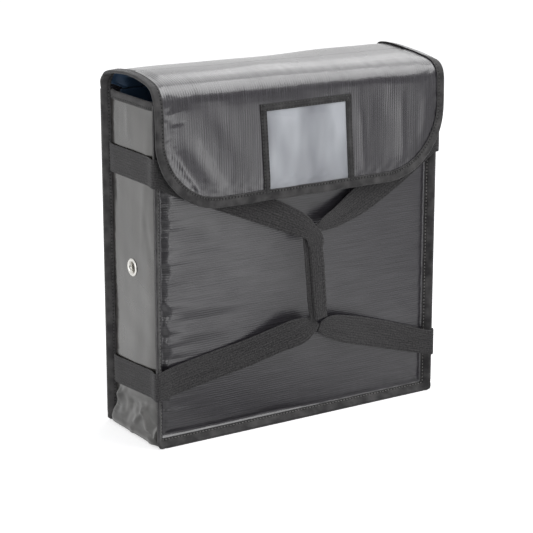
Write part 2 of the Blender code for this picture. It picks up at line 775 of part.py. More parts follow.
# Back panel: its cloth runs on up into the bend of the flap
bend_rows = []
for arc_step in range(1, ARC_STEPS + 1):
    arc_point = back_arc(SPLIT_ANGLE * arc_step / ARC_STEPS)
    bend_rows.append((mix(HALF_WIDTH, HALF_FLAP, arc_step / ARC_STEPS), arc_point[0], arc_point[1]))
outer_panel("back_outer_panel", 1, BACK_TOP, bend_rows, coated_cloth)
flat_panel("back_foam", seam_outline(BACK_TOP - CLEAR, FOAM_FACE), (0.0, foam_middle, 0.0), FOAM, foam_sheet,
           bag_frame)

# Panel linings
lining_half = HALF_WIDTH - LINING_FACE - CLEAR
lining_low = SEAM_HEIGHT + LINING_FACE + LINING + CLEAR
front_lining_rows = []
for height, depth in ((MOUTH_HEIGHT - TAPE - CLEAR, FOAM_FACE), (BAND_FOOT, FOAM_FACE),
                      (LINING_SHOULDER, LINING_FACE), (lining_low, LINING_FACE)):
    front_lining_rows.append([Vector((x, -HALF_DEPTH + depth, height))
                              for x in (-lining_half, lining_half)])
sheet("front_lining", front_lining_rows, LINING, lining_cloth, bag_frame)
back_lining_rows = []
for arc_step in range(ARC_STEPS, -1, -1):
    arc_point = back_arc(SPLIT_ANGLE * arc_step / ARC_STEPS)
    back_lining_rows.append([inside(arc_point, x, LINING_FACE) for x in (-lining_half, lining_half)])
back_lining_rows.append([Vector((x, HALF_DEPTH - LINING_FACE, lining_low))
                         for x in (-lining_half, lining_half)])
sheet("back_lining", back_lining_rows, LINING, lining_cloth, bag_frame, turned=True)

# Gusset strip: one strip of coated cloth and one of lining, with three foam sheets between
gusset_top = MOUTH_HEIGHT - TAPE - CLEAR
gusset_outer = sheet("gusset_outer", gusset_rows(whole_seam(gusset_top), 0.0, SKIN_SPAN, flanges=True),
                     SKIN, coated_cloth, bag_frame, turned=True)
foam_span = HALF_DEPTH - FOAM_FACE - FOAM - CLEAR
gusset_foams = {}
for side, label in ((-1, "left"), (1, "right")):
    stations = half_seam(side, FOAM_TOP, last_angle=math.pi / 4 - FOAM_CORNER_GAP, steps=ARC_STEPS)
    gusset_foams[side] = sheet(f"gusset_foam_{label}", gusset_rows(stations, FOAM_FACE, foam_span), FOAM,
                               foam_sheet, bag_frame, turned=side < 0)
bottom_angles = [mix(math.pi / 4 + FOAM_CORNER_GAP, math.pi / 2, step / ARC_STEPS)
                 for step in range(ARC_STEPS + 1)]
bottom_stations = [corner_station(-1, angle) for angle in bottom_angles]
bottom_stations += bottom_run()
bottom_stations += [corner_station(1, angle) for angle in reversed(bottom_angles)]
sheet("gusset_foam_bottom", gusset_rows(bottom_stations, FOAM_FACE, foam_span), FOAM, foam_sheet, bag_frame,
      turned=True)
lining_span = HALF_DEPTH - WALL - CLEAR
lining_rows = []
for station in whole_seam(gusset_top):
    face = FOAM_FACE if station[1] > LINING_SHOULDER + CLEAR else LINING_FACE
    lining_rows += gusset_rows([station], face, lining_span)
gusset_lining = sheet("gusset_lining", lining_rows, LINING, lining_cloth, bag_frame, turned=True)

# Tape round the seams and the mouth
seam_tape("front_edge_binding", -1, MOUTH_HEIGHT)
seam_tape("back_edge_binding", 1, BACK_TOP - CLEAR)
lip = TAPE + CLEAR
held = FOAM_FACE + LINING + CLEAR + TAPE
mouth_section = ((-lip, MOUTH_TAPE_LEG), (-lip, lip), (-lip + TAPE, 0.0),
                 (held - TAPE, 0.0), (held, lip), (held, MOUTH_TAPE_LEG))
mouth_half = HALF_WIDTH - CORNER_RADIUS / 2
front_mouth_rows = []
for x in (-mouth_half, mouth_half):
    front_mouth_rows.append([Vector((x, -HALF_DEPTH + depth, MOUTH_HEIGHT - drop))
                             for depth, drop in mouth_section])
sheet("front_mouth_binding", front_mouth_rows, TAPE, tape_cloth, bag_frame)
for side, label in ((-1, "left"), (1, "right")):
    runs = []
    for depth, drop in mouth_section:
        station = side_station(side, MOUTH_HEIGHT - drop)
        runs.append([beside(station, *place) for place in
                     gusset_section(station[4], depth, lining_span - CLEAR)])
    mouth_rows = [list(points) for points in zip(*runs)]
    sheet(f"gusset_mouth_binding_{label}", mouth_rows, TAPE, tape_cloth, bag_frame, turned=side < 0)

# Flap, in two sections that fold
flap_skin("flap_top_outer", "top", flap_top_pivot)
flap_foam("flap_top_foam", "top", flap_top_pivot)
flap_lining("flap_top_lining", "top", flap_top_pivot)
flap_side_tape("flap_side_binding_left", -1)
flap_side_tape("flap_side_binding_right", 1)
flap_skin("flap_front_outer", "front", flap_front_pivot)
flap_foam("flap_front_foam", "front", flap_front_pivot)
flap_lining("flap_front_lining", "front", flap_front_pivot)
flap_hem_tape("flap_front_binding")

# Ticket window: a clear sheet bound on three sides, its foot at the hem tape
face_lean = math.atan2(FLAP_FRONT_HEIGHT - FLAP_FRONT_RADIUS - FLAP_HEM_HEIGHT, FLAP_FLARE)
window_point = front_point(WINDOW_FOOT)
half_clear = WINDOW_WIDTH / 2
half_sheet = half_clear + WINDOW_TAPE_WIDTH - 2 * CLEAR
half_window = half_clear + WINDOW_TAPE_WIDTH
sheet_top = WINDOW_HEIGHT + WINDOW_TAPE_WIDTH - 2 * CLEAR
window_top = WINDOW_HEIGHT + WINDOW_TAPE_WIDTH
flat_panel("window_sheet",
           [(-half_sheet, 0.0), (half_sheet, 0.0), (half_sheet, sheet_top), (-half_sheet, sheet_top)],
           inside(window_point, 0.0, -CLEAR - WINDOW_SHEET / 2), WINDOW_SHEET, clear_vinyl,
           flap_front_pivot, face_lean)
flat_panel("window_binding",
           [(-half_window, 0.0), (-half_clear, 0.0), (-half_clear, WINDOW_HEIGHT),
            (half_clear, WINDOW_HEIGHT), (half_clear, 0.0), (half_window, 0.0),
            (half_window, window_top), (-half_window, window_top)],
           inside(window_point, 0.0, -2 * CLEAR - WINDOW_SHEET - WINDOW_TAPE / 2), WINDOW_TAPE, tape_cloth,
           flap_front_pivot, face_lean)

# Hook strip on the flap's lining, and loop strip on the front panel
closure_size = (CLOSURE_LENGTH, CLOSURE_THICKNESS, CLOSURE_WIDTH)
face_box("loop_strip", closure_size, (0.0, -HALF_DEPTH - CLEAR - CLOSURE_THICKNESS / 2, CLOSURE_HEIGHT), 0.0,
         closure_pile, bag_frame)
face_box("hook_strip", closure_size,
         inside(front_point(CLOSURE_HEIGHT), 0.0, WALL + CLEAR + CLOSURE_THICKNESS / 2),
         face_lean - math.pi / 2, closure_pile, flap_front_pivot)

# Vents in both gussets
eyelet_back = -(WALL + 2 * CLEAR + WASHER_THICKNESS)
eyelet_outer = EYELET_HOLE_RADIUS + EYELET_WALL
eyelet_curl = eyelet_outer + 2 * EYELET_WALL
eyelet_profile = [(mix(EYELET_HOLE_RADIUS, EYELET_FLANGE_RADIUS, across), EYELET_RISE * rise)
                  for across, rise in EYELET_FACE_SHARES]
eyelet_profile += [(EYELET_FLANGE_RADIUS - EYELET_WALL, CLEAR), (eyelet_outer, CLEAR),
                   (eyelet_outer, eyelet_back), (eyelet_curl, eyelet_back),
                   (eyelet_curl, eyelet_back - EYELET_WALL), (EYELET_HOLE_RADIUS, eyelet_back - EYELET_WALL)]
washer_profile = [(eyelet_outer + CLEAR, -WALL - CLEAR), (WASHER_RADIUS, -WALL - CLEAR),
                  (WASHER_RADIUS, -WALL - CLEAR - WASHER_THICKNESS),
                  (eyelet_outer + CLEAR, -WALL - CLEAR - WASHER_THICKNESS)]
for side, label in ((-1, "left"), (1, "right")):
    hole = vent_cutter(side, eyelet_outer + CLEAR)
    for wall_piece in (gusset_outer, gusset_foams[side], gusset_lining):
        cut(wall_piece, hole)
    turned_ring(f"vent_eyelet_{label}", side, eyelet_profile, nickel)
    turned_ring(f"vent_washer_{label}", side, washer_profile, nickel)

# Straps and grip
strap_band("strap_band_upper", UPPER_BAND_LEFT, UPPER_BAND_RIGHT)
strap_band("strap_band_lower", LOWER_BAND_LEFT, LOWER_BAND_RIGHT)

# Arms of the straps: side, height at the bag, sag, and the end of the grip that they run to
grip_top = GRIP_HEIGHT + GRIP_LENGTH / 2 - ARM_END_WIDTH / 4
grip_foot = GRIP_HEIGHT - GRIP_LENGTH / 2 + ARM_END_WIDTH / 4
strap_arm("strap_arm_upper_left", -1, UPPER_BAND_LEFT, grip_top, UPPER_ARM_SAG_LEFT)
strap_arm("strap_arm_upper_right", 1, UPPER_BAND_RIGHT, grip_top, UPPER_ARM_SAG_RIGHT)
strap_arm("strap_arm_lower_left", -1, LOWER_BAND_LEFT, grip_foot, LOWER_ARM_SAG_LEFT)
strap_arm("strap_arm_lower_right", 1, LOWER_BAND_RIGHT, grip_foot, LOWER_ARM_SAG_RIGHT)
grip_size = (GRIP_WIDTH, GRIP_THICKNESS, GRIP_LENGTH)
grip = face_box("handle_grip", grip_size, grip_place, 0.0, webbing, handle_slide)
grip.rotation_euler = (0.0, -GRIP_LEAN, 0.0)
rounding = grip.modifiers.new("rounding", "BEVEL")
rounding.width = GRIP_BEVEL
rounding.segments = 2
rounding.limit_method = "ANGLE"
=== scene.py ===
import bpy
import numpy as np
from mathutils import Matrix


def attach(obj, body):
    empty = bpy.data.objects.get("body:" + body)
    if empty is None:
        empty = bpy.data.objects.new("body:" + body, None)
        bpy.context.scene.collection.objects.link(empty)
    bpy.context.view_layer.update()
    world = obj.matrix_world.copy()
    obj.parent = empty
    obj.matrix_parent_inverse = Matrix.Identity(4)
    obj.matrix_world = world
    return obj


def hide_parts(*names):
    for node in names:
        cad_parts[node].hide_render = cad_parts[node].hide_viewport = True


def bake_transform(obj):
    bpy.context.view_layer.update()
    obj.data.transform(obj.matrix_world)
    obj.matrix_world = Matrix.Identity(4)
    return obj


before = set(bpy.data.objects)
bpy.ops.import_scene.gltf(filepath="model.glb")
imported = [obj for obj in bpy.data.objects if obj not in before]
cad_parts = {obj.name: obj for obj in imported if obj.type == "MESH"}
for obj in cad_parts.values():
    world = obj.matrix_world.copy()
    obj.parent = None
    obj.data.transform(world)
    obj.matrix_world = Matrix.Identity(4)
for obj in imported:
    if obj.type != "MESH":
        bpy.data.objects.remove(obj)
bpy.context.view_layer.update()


# Front panel: vinyl-coated ribbed cloth over a sheet of foam.  It is sewn to the gusset down
# both sides and along the foot, so its edge is drawn in at the seam, puckers there, and turns
# out into the seam flange that the edge tape covers.
HALF_WIDTH = 0.216
HALF_DEPTH = 0.060
SEAM_LOW = 0.0097
CORNER = 0.005
FLANGE = 0.0086
PLY = 0.0011
CLOTH = 0.0008
MOUTH = 0.463
TOP = MOUTH - PLY
FRONT_SEED = 11
FRONT_SWELL = 0.0008
# Each fold: x and z of its foot, x and z of its top, its width, its height and, last, its lean.
FRONT_FOLDS = ((-0.206, 0.258, -0.090, 0.246, 0.010, 0.0012), (-0.208, 0.214, -0.080, 0.222, 0.012, -0.0016),
               (-0.208, 0.190, -0.060, 0.176, 0.010, 0.0015), (-0.208, 0.168, -0.085, 0.166, 0.008, -0.0013),
               (-0.206, 0.150, -0.100, 0.146, 0.006, 0.0011), (-0.208, 0.300, -0.120, 0.282, 0.012, -0.0011),
               (-0.204, 0.316, -0.110, 0.330, 0.010, 0.0010), (0.200, 0.112, 0.150, 0.150, 0.010, 0.0010),
               (0.212, 0.020, 0.178, 0.044, 0.004, 0.0016))


def smooth(share):
    """Smooth step: three t squared less two t cubed, held at 0 and 1 outside."""
    share = np.clip(share, 0.0, 1.0)
    return share * share * (3 - 2 * share)


def rumple(a, b, wave, seed, waves=9):
    """Unevenness of cloth, about -1 to 1: a sum of plane sine waves in seeded directions, with
    lengths spread round the one given."""
    rng = np.random.default_rng(seed)
    total = np.zeros(np.broadcast(a, b).shape)
    for turn, stretch, phase in rng.uniform((0, 0.6, 0), (np.pi, 1.7, 6.28), (waves, 3)):
        pace = 2 * np.pi / (wave * stretch)
        total += np.sin(pace * (a * np.cos(turn) + b * np.sin(turn)) + phase)
    return total * 0.7 / waves ** 0.5


def add_folds(height, gain, x, z, folds):
    """Adds soft folds to a height: each a bell across the line from its foot to its top that
    fades out at both ends of it.  A lean makes one flank of the bell steeper than the other."""
    for foot_x, foot_z, top_x, top_z, wide, high, *lean in folds:
        run_x, run_z = top_x - foot_x, top_z - foot_z
        length = np.hypot(run_x, run_z)
        along = ((x - foot_x) * run_x + (z - foot_z) * run_z) / length ** 2
        across = ((x - foot_x) * run_z - (z - foot_z) * run_x) / length / wide
        across = across * (1 + sum(lean) * np.tanh(across))
        bell = np.exp(-across ** 2) * smooth(along / 0.3) * smooth((1 - along) / 0.3)
        height = height + gain * high * bell
    return height


def higher(a, b, blend=0.0012):
    """The greater of two heights, with the crease between them rounded: half of a + b plus the
    root of (a - b) squared and blend squared."""
    return 0.5 * (a + b + np.sqrt((a - b) ** 2 + blend ** 2))


def places_between(low, high, fine, coarse, band):
    """Places from low to high, fine apart at both ends and coarse apart beyond a band from them:
    the running sum of 1 / spacing is cut into equal parts."""
    line = np.linspace(low, high, 4001)
    near = np.minimum(line - low, high - line)
    rate = 1 / (fine + (coarse - fine) * smooth(near / band))
    total = np.concatenate(([0.0], np.cumsum(0.5 * (rate[1:] + rate[:-1]) * np.diff(line))))
    return np.interp(np.linspace(0, total[-1], int(total[-1]) + 2), total, line)


def points_of(x, y, z):
    """Points from three coordinates, each an array or one number."""
    return np.stack(np.broadcast_arrays(x, y, z), -1)


def add_object(name, data):
    """An object in the scene for a mesh, a lamp or a camera."""
    made = bpy.data.objects.new(name, data)
    bpy.context.scene.collection.objects.link(made)
    return made


def quads_of(grid):
    """The four neighbours round each cell of a grid of numbers."""
    return np.stack((grid[:-1, :-1], grid[:-1, 1:], grid[1:, 1:], grid[1:, :-1]), -1).reshape(-1, 4)


def lay(name, points, cloth, ply=0.0, away=(0.0, 0.0, 0.24), ring=False, loop=False, inwards=False,
        hole=None):
    """An object from a grid of points: a quad between each four neighbours, faced away from a
    place, or towards it.  cloth gives u and v in metres of cloth for the UV map.  ring joins the
    last column to the first and fills the ends; loop joins the last row to the first.  hole, a
    y, z and radius, leaves out each quad that reaches into it.  A ply is added behind the face."""
    rows, cols = points.shape[:2]
    away = points.mean((0, 1)) if ring else np.array(away)
    number = np.pad(np.arange(rows * cols).reshape(rows, cols), ((0, int(loop)), (0, int(ring))), mode="wrap")
    quads = quads_of(number)
    spots = quads_of(np.arange(number.size).reshape(number.shape))
    corner = points.reshape(-1, 3)[quads]
    normal = np.cross(corner[:, 2] - corner[:, 0], corner[:, 3] - corner[:, 1])
    turned = (np.sum(normal * (corner.mean(1) - away)) < 0) != inwards
    ends = [number[0, :cols][::-1], number[-1, :cols]] if ring and not loop else []
    if turned:
        quads, spots = quads[:, ::-1], spots[:, ::-1]
        ends = [end[::-1] for end in ends]
    if hole:
        clear = (np.hypot(corner[..., 1] - hole[0], corner[..., 2] - hole[1]) >= hole[2]).all(1)
        quads, spots = quads[clear], spots[clear]
    mesh = bpy.data.meshes.new(name)
    mesh.from_pydata(points.reshape(-1, 3).tolist(), [], quads.tolist() + [end.tolist() for end in ends])
    flat = np.stack(np.broadcast_arrays(*cloth), -1).reshape(-1, 2)[spots.reshape(-1)]
    flat = np.concatenate((flat, np.zeros((len(mesh.loops) - len(flat), 2))))
    mesh.uv_layers.new(name="cloth").data.foreach_set("uv", flat.reshape(-1))
    mesh.shade_smooth()
    if ends:
        mesh.set_sharp_from_angle(angle=1.1)
    made = add_object(name, mesh)
    if ply:
        wall = made.modifiers.new("ply", "SOLIDIFY")
        wall.thickness = ply
        wall.offset = -1
    return made


def dress(piece, material, slot, body, *nodes):
    """Gives a piece its material; parents it to a body's empty when body is a name, and otherwise, for a bend
    from one body to the next, only bakes its transform in; and hides the nodes that it stands for.  slot is
    not used."""
    piece.data.materials.append(material)
    if isinstance(body, str):
        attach(piece, body)
    else:
        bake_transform(piece)
    if nodes:
        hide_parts(*nodes)
    return piece


def seam_distance(x, z):
    """Distance inside the body's outline, a U with round bottom corners; less than 0 outside."""
    corner_x = np.abs(x) - (HALF_WIDTH - CORNER)
    corner_z = SEAM_LOW + CORNER - z
    square = np.minimum(HALF_WIDTH - np.abs(x), z - SEAM_LOW)
    return np.where((corner_x > 0) & (corner_z > 0), CORNER - np.hypot(corner_x, corner_z), square)


def panel_grid(top, coarse_x, coarse_z):
    """x and z over the U outline, moved out by the flange: each row is the full row of x places
    drawn in to the outline's width at its height."""
    reach = HALF_WIDTH + FLANGE
    x = places_between(-reach, reach, 0.0011, coarse_x, 0.05)[None, :]
    z = places_between(SEAM_LOW - FLANGE, top, 0.0011, coarse_z, 0.05)[:, None]
    below = np.clip(SEAM_LOW + CORNER - z, 0.0, CORNER + FLANGE)
    half = HALF_WIDTH - CORNER + np.sqrt((CORNER + FLANGE) ** 2 - below ** 2)
    return x * half / reach, z + 0 * x


def panel_height(x, z, seed, pucker, swell):
    """How far a panel's cloth stands out of the seam's plane: it sinks at the seam, swells over
    the foam, puckers where the thread gathers it, and leans out at 45 degrees on the flange.  At
    the left it is dented in a ragged strip beside the seam."""
    inset = seam_distance(x, z)
    inside = np.maximum(inset, 0.0)
    height = swell * smooth(inside / 0.10) - 0.0018 * np.exp(-inside / 0.0045)
    left = 0.35 + 0.65 * smooth((0.05 - x) / 0.10)
    to_side = HALF_WIDTH - np.abs(x)
    ragged = (0.0090 + 0.0080 * left) * (1 + 0.40 * left * rumple(z, 0.06 * x, 0.024, seed + 4))
    dent = 0.0044 * left + 0.0040 * smooth(-x / 0.05) * np.exp(-(to_side / 0.03) ** 2)
    height -= dent * (1 - smooth(inside / ragged))
    sides = np.exp(-to_side / 0.016) + 0.35 * np.exp(-to_side / 0.045)
    foot = np.exp(-(z - SEAM_LOW) / 0.014)
    held = smooth((MOUTH - z) / 0.03)
    height += pucker * 0.0012 * left * sides * held * rumple(z, 0.10 * x, 0.011, seed)
    fine = left * np.exp(-to_side / 0.012) * held * rumple(z, 0.25 * x, 0.006, seed + 3)
    height += pucker * 0.0005 * (fine + foot * rumple(x, 0.10 * z, 0.017, seed + 1))
    height += 0.0008 * smooth(inside / 0.05) * rumple(x, z, 0.16, seed + 2)
    return higher(height, PLY - inset)


front_x, front_z = panel_grid(TOP, 0.0032, 0.0030)
front_height = panel_height(front_x, front_z, FRONT_SEED, 1.0, FRONT_SWELL)
front_height = add_folds(front_height, 0.7, front_x, front_z, FRONT_FOLDS)
front_points = points_of(front_x, -HALF_DEPTH - front_height, front_z)
front_panel = lay("front_panel", front_points, (front_z, front_x), CLOTH)


def wire(tree, kind, links=(), **values):
    """A node of a kind, with its properties set and its sockets linked or given numbers."""
    made = tree.nodes.new(kind)
    for key, value in values.items():
        setattr(made, key, value)
    for socket, source in links:
        if isinstance(source, bpy.types.NodeSocket):
            tree.links.new(source, made.inputs[socket])
        else:
            made.inputs[socket].default_value = source
    return made


def maths(tree, operation, a, b=0.0, c=0.0):
    """One Math node's output."""
    return wire(tree, "ShaderNodeMath", ((0, a), (1, b), (2, c)), operation=operation).outputs[0]


def noise(tree, vector, scale, detail=2.0):
    """A noise texture's value."""
    sockets = (("Vector", vector), ("Scale", scale), ("Detail", detail))
    return wire(tree, "ShaderNodeTexNoise", sockets).outputs["Fac"]


def remap(tree, value, low, high, first=0.0, last=1.0, **values):
    """A value taken from the range low to high into the range first to last."""
    sockets = ((0, value), (1, low), (2, high), (3, first), (4, last))
    return wire(tree, "ShaderNodeMapRange", sockets, **values).outputs[0]


def stretch(tree, vector, scale, turn=0.0):
    """Coordinates scaled, and turned about z."""
    sockets = (("Vector", vector), ("Rotation", (0.0, 0.0, turn)), ("Scale", scale))
    return wire(tree, "ShaderNodeMapping", sockets).outputs[0]


def split(tree, vector):
    """A vector's three parts."""
    return wire(tree, "ShaderNodeSeparateXYZ", ((0, vector),)).outputs


def mix(tree, share, dark, light):
    """A colour between two, each three numbers or another colour's socket."""
    ends = [end if isinstance(end, bpy.types.NodeSocket) else (*end, 1.0) for end in (dark, light)]
    return wire(tree, "ShaderNodeMix", ((0, share), (6, ends[0]), (7, ends[1])), data_type="RGBA").outputs[2]


def bump(tree, height, strength, distance):
    """A normal bumped by a height."""
    sockets = (("Height", height), ("Strength", strength), ("Distance", distance))
    return wire(tree, "ShaderNodeBump", sockets).outputs[0]


def feed(tree, node, **sources):
    """Links sources to a node's inputs by their names."""
    for key, source in sources.items():
        tree.links.new(source, node.inputs[key.replace("_", " ")])


def shared_group(name, inputs, outputs):
    """A shader node group with its sockets made, and its two end nodes.  Its first input is the
    cloth's coordinates, and the others are numbers."""
    tree = bpy.data.node_groups.new(name, "ShaderNodeTree")
    tree.interface.new_socket("Cloth", in_out="INPUT", socket_type="NodeSocketVector")
    for label, value in inputs:
        socket = tree.interface.new_socket(label, in_out="INPUT", socket_type="NodeSocketFloat")
        socket.default_value = value
    for label in outputs:
        tree.interface.new_socket(label, in_out="OUTPUT", socket_type="NodeSocketFloat")
    return tree, tree.nodes.new("NodeGroupInput"), tree.nodes.new("NodeGroupOutput")


def ribbed_cloth_group():
    """Ribs across the cloth's u, a rounded wave every few millimetres whose height drifts, over a
    fine grain.  Puts out the height, a cloudy mask, a streaky one that follows the ribs, and one
    that smears at a slant."""
    tree, inlet, outlet = shared_group("ribbed_cloth", (("Spacing", 0.003), ("Rib", 1.0)),
                                       ("Height", "Cloud", "Streak", "Smear"))
    cloth = inlet.outputs["Cloth"]
    turns = maths(tree, "DIVIDE", split(tree, cloth)[0], inlet.outputs["Spacing"])
    turns = maths(tree, "ADD", turns, maths(tree, "MULTIPLY", noise(tree, cloth, 34.0), 0.9))
    wave = maths(tree, "SINE", maths(tree, "MULTIPLY", turns, 2 * np.pi))
    wave = maths(tree, "MULTIPLY_ADD", wave, 0.5, 0.5)
    streak = noise(tree, stretch(tree, cloth, (420.0, 16.0, 1.0)), 1.0, 3.0)
    drift = remap(tree, noise(tree, cloth, 24.0, 1.0), 0.38, 0.62, 0.35, 1.0)
    strength = maths(tree, "MULTIPLY", drift, inlet.outputs["Rib"])
    height = maths(tree, "MULTIPLY_ADD", streak, 0.45, maths(tree, "MULTIPLY", wave, strength))
    height = maths(tree, "MULTIPLY_ADD", noise(tree, cloth, 900.0), 0.22, height)
    lines = maths(tree, "SUBTRACT", wave, 0.5)
    lines = maths(tree, "MULTIPLY_ADD", lines, maths(tree, "MULTIPLY", strength, 0.34), streak)
    smear = noise(tree, stretch(tree, cloth, (9.0, 46.0, 1.0), 0.55), 1.0, 4.0)
    feed(tree, outlet, Height=height, Cloud=noise(tree, cloth, 9.0, 3.0), Streak=lines, Smear=smear)
    return tree


def shade(name, roughness=0.5, **settings):
    """A new material and its Principled shader, with constants set on the shader's own sockets,
    and the cloth's UV map to feed it."""
    made = bpy.data.materials.new(name)
    made.use_nodes = True
    tree = made.node_tree
    shader = tree.nodes["Principled BSDF"]
    shader.inputs["Roughness"].default_value = roughness
    for key, value in settings.items():
        shader.inputs[key.replace("_", " ")].default_value = value
    return made, tree, shader, wire(tree, "ShaderNodeUVMap", uv_map="cloth").outputs[0]


def coated_cloth(name, spacing, rib, depth, dark=(0.018, 0.016, 0.021), light=(0.044, 0.041, 0.049),
                 mask="Streak", coat=0.13, polish=(0.20, 0.34)):
    """Black vinyl coating over ribbed cloth: satin, glossier in clouded patches, with a tone that
    follows one of the cloth's masks."""
    made, tree, shader, uv = shade(name, 0.30, Specular_IOR_Level=1.0, Coat_Weight=0.85, Coat_Roughness=coat)
    sockets = (("Cloth", uv), ("Spacing", spacing), ("Rib", rib))
    ribs = wire(tree, "ShaderNodeGroup", sockets, node_tree=ribbed_cloth).outputs
    feed(tree, shader, Base_Color=mix(tree, remap(tree, ribs[mask], 0.3, 0.7), dark, light),
         Roughness=remap(tree, ribs["Cloud"], 0.3, 0.7, *polish),
         Normal=bump(tree, ribs["Height"], 1.0, depth))
    return made


ribbed_cloth = ribbed_cloth_group()
panel_cloth = coated_cloth("coated_cloth_panel", 0.0031, 1.0, 0.00020, coat=0.26, polish=(0.28, 0.42))
dress(front_panel, panel_cloth, "coated_cloth", "bag", "front_outer_panel", "front_foam")


# Back panel: the same cloth and foam.  It runs on above as the flap, so it ends in the start of
# the bend there, a little above the mouth.  Each strap presses a shallow groove into it.
FLAP_START = 0.462
BACK_FOLDS = ((-0.15, 0.06, 0.02, 0.20, 0.03, 0.0012), (0.16, 0.10, 0.10, 0.42, 0.03, -0.0012))
back_x, back_z = panel_grid(FLAP_START, 0.0036, 0.0034)
back_height = add_folds(panel_height(back_x, back_z, 31, 0.9, 0.0012), 1.0, back_x, back_z, BACK_FOLDS)
back_inset = seam_distance(back_x, back_z)
for level in (0.0760, 0.3712):
    back_height -= 0.0009 * np.exp(-((back_z - level) / 0.026) ** 4) * smooth(back_inset / 0.02)
settled = smooth((FLAP_START - back_z) / 0.03)
back_height = back_height * settled + higher(0.0, PLY - back_inset) * (1 - settled)
back_points = points_of(back_x, HALF_DEPTH + back_height, back_z)
back_panel = lay("back_panel", back_points, (back_x, back_z), CLOTH)
back_cloth = coated_cloth("coated_cloth_back", 0.0031, 0.8, 0.00018)
dress(back_panel, back_cloth, "coated_cloth", "bag", "back_outer_panel", "back_foam")


# Gusset: one strip of the coated cloth with foam behind it, down the left side, along the
# bottom and up the right side.  It swells between its two seams, sags to the floor along the
# bottom, and creases lengthwise where it is gathered.
BOTTOM_SWELL = 0.0095
SIDE_SWELL = 0.0042
EYE_Y = 0.0
EYE_Z = 0.2340
EYE_HOLE = (EYE_Y, EYE_Z, 0.0074)
GUSSET_FOLDS = ((0.052, 0.012, 0.038, 0.064, 0.0055, 0.0030), (-0.056, 0.004, -0.010, 0.058, 0.0060, 0.0026),
                (0.020, 0.010, 0.000, 0.058, 0.0060, -0.0018), (0.010, 0.004, -0.040, 0.060, 0.0040, 0.0022),
                (0.058, 0.036, 0.020, 0.062, 0.0040, 0.0018), (-0.046, 0.440, -0.020, 0.230, 0.0060, 0.0009),
                (-0.030, 0.330, -0.050, 0.240, 0.0050, -0.0006), (0.010, 0.455, 0.002, 0.396, 0.0060, 0.0007),
                (0.032, 0.450, 0.036, 0.398, 0.0060, -0.0006), (0.050, 0.350, 0.046, 0.150, 0.0060, 0.0005))


def seam_path(along, top):
    """x, z and the outward direction at a length along the U seam from its left top: straight
    down, a quarter circle, straight across, a quarter circle and straight up."""
    side = top - SEAM_LOW - CORNER
    turn = np.pi / 2 * CORNER
    foot = 2 * (HALF_WIDTH - CORNER)
    first = np.clip((along - side) / turn, 0, 1) * np.pi / 2
    second = np.clip((along - side - turn - foot) / turn, 0, 1) * np.pi / 2
    across = np.clip(along - side - turn, 0, foot)
    up = np.maximum(along - side - 2 * turn - foot, 0.0)
    angle = np.pi + first + second
    x = -HALF_WIDTH + CORNER * (1 - np.cos(first)) + across + CORNER * np.sin(second)
    z = top - np.minimum(along, side) - CORNER * np.sin(first) + CORNER * (1 - np.cos(second)) + up
    return x, z, np.cos(angle), np.sin(angle)


def seam_length(top):
    """Length of the U seam whose two ends are at a height."""
    return 2 * (top - SEAM_LOW - CORNER) + np.pi * CORNER + 2 * (HALF_WIDTH - CORNER)


def past_corner(along, top):
    """Length along the U seam from the middle of the nearer bottom corner, less than 0 above it."""
    return np.minimum(along, seam_length(top) - along) - (top - SEAM_LOW - CORNER + np.pi / 4 * CORNER)


def gusset_swell(z):
    """Swell of the gusset at a height, fuller along the bottom, and how far it is on a side."""
    on_side = smooth((z - 0.012) / 0.035)
    return SIDE_SWELL * on_side + BOTTOM_SWELL * (1 - on_side), on_side


def gusset_height(x, z, y, along):
    """How far the gusset stands out of the seams' line: a flat-topped swell across it, lengthwise
    creases and puckers that the straps hold flat, and the two flanges at 45 degrees."""
    wide = np.abs(y) / HALF_DEPTH
    swell, on_side = gusset_swell(z)
    near_mouth = smooth((z - MOUTH + 0.05) / 0.05)
    swell = swell * (1 - near_mouth) + 0.0025 * near_mouth
    shape = 1 - np.clip(wide, 0, 1) ** (3.8 + 20.0 * smooth((0.030 - z) / 0.020))
    to_corner = np.abs(past_corner(along, TOP))
    swell = swell * (1 + 0.34 * np.exp(-(to_corner / 0.0032) ** 2))
    height = swell * shape - 0.0026 * np.exp((np.abs(y) - HALF_DEPTH) / 0.0028) * np.where(wide < 1, 1, 0)
    free = shape * on_side
    held = smooth((MOUTH - 0.008 - z) / 0.02)
    for level in (0.371, 0.080):
        held = held * (1 - np.exp(-((z - level) / 0.024) ** 4))
    height += 0.00030 * free * (0.4 + 0.6 * held) * rumple(y + 0.35 * z, 0.5 * z, 0.030, 41)
    height += 0.0006 * free * rumple(y, z, 0.06, 43)
    edge = np.exp((np.abs(y) - HALF_DEPTH) / 0.010) * on_side
    height += 0.0005 * edge * rumple(along, 0.1 * y, 0.014, 44)
    height += 0.0028 * smooth((0.064 - z) / 0.012) * on_side * shape * rumple(y, z, 0.030, 46)
    height = add_folds(height, np.where(x < 0, 1.0, 0.8), np.where(x < 0, y, -y), z, GUSSET_FOLDS)
    eye = np.hypot(y - EYE_Y, z - EYE_Z)
    height += (SIDE_SWELL - height) * np.exp(-(eye / 0.016) ** 4)
    height = np.where((z < 0.02) & (to_corner > 0.004), np.minimum(height, BOTTOM_SWELL), height)
    return higher(height, PLY + np.abs(y) - HALF_DEPTH)


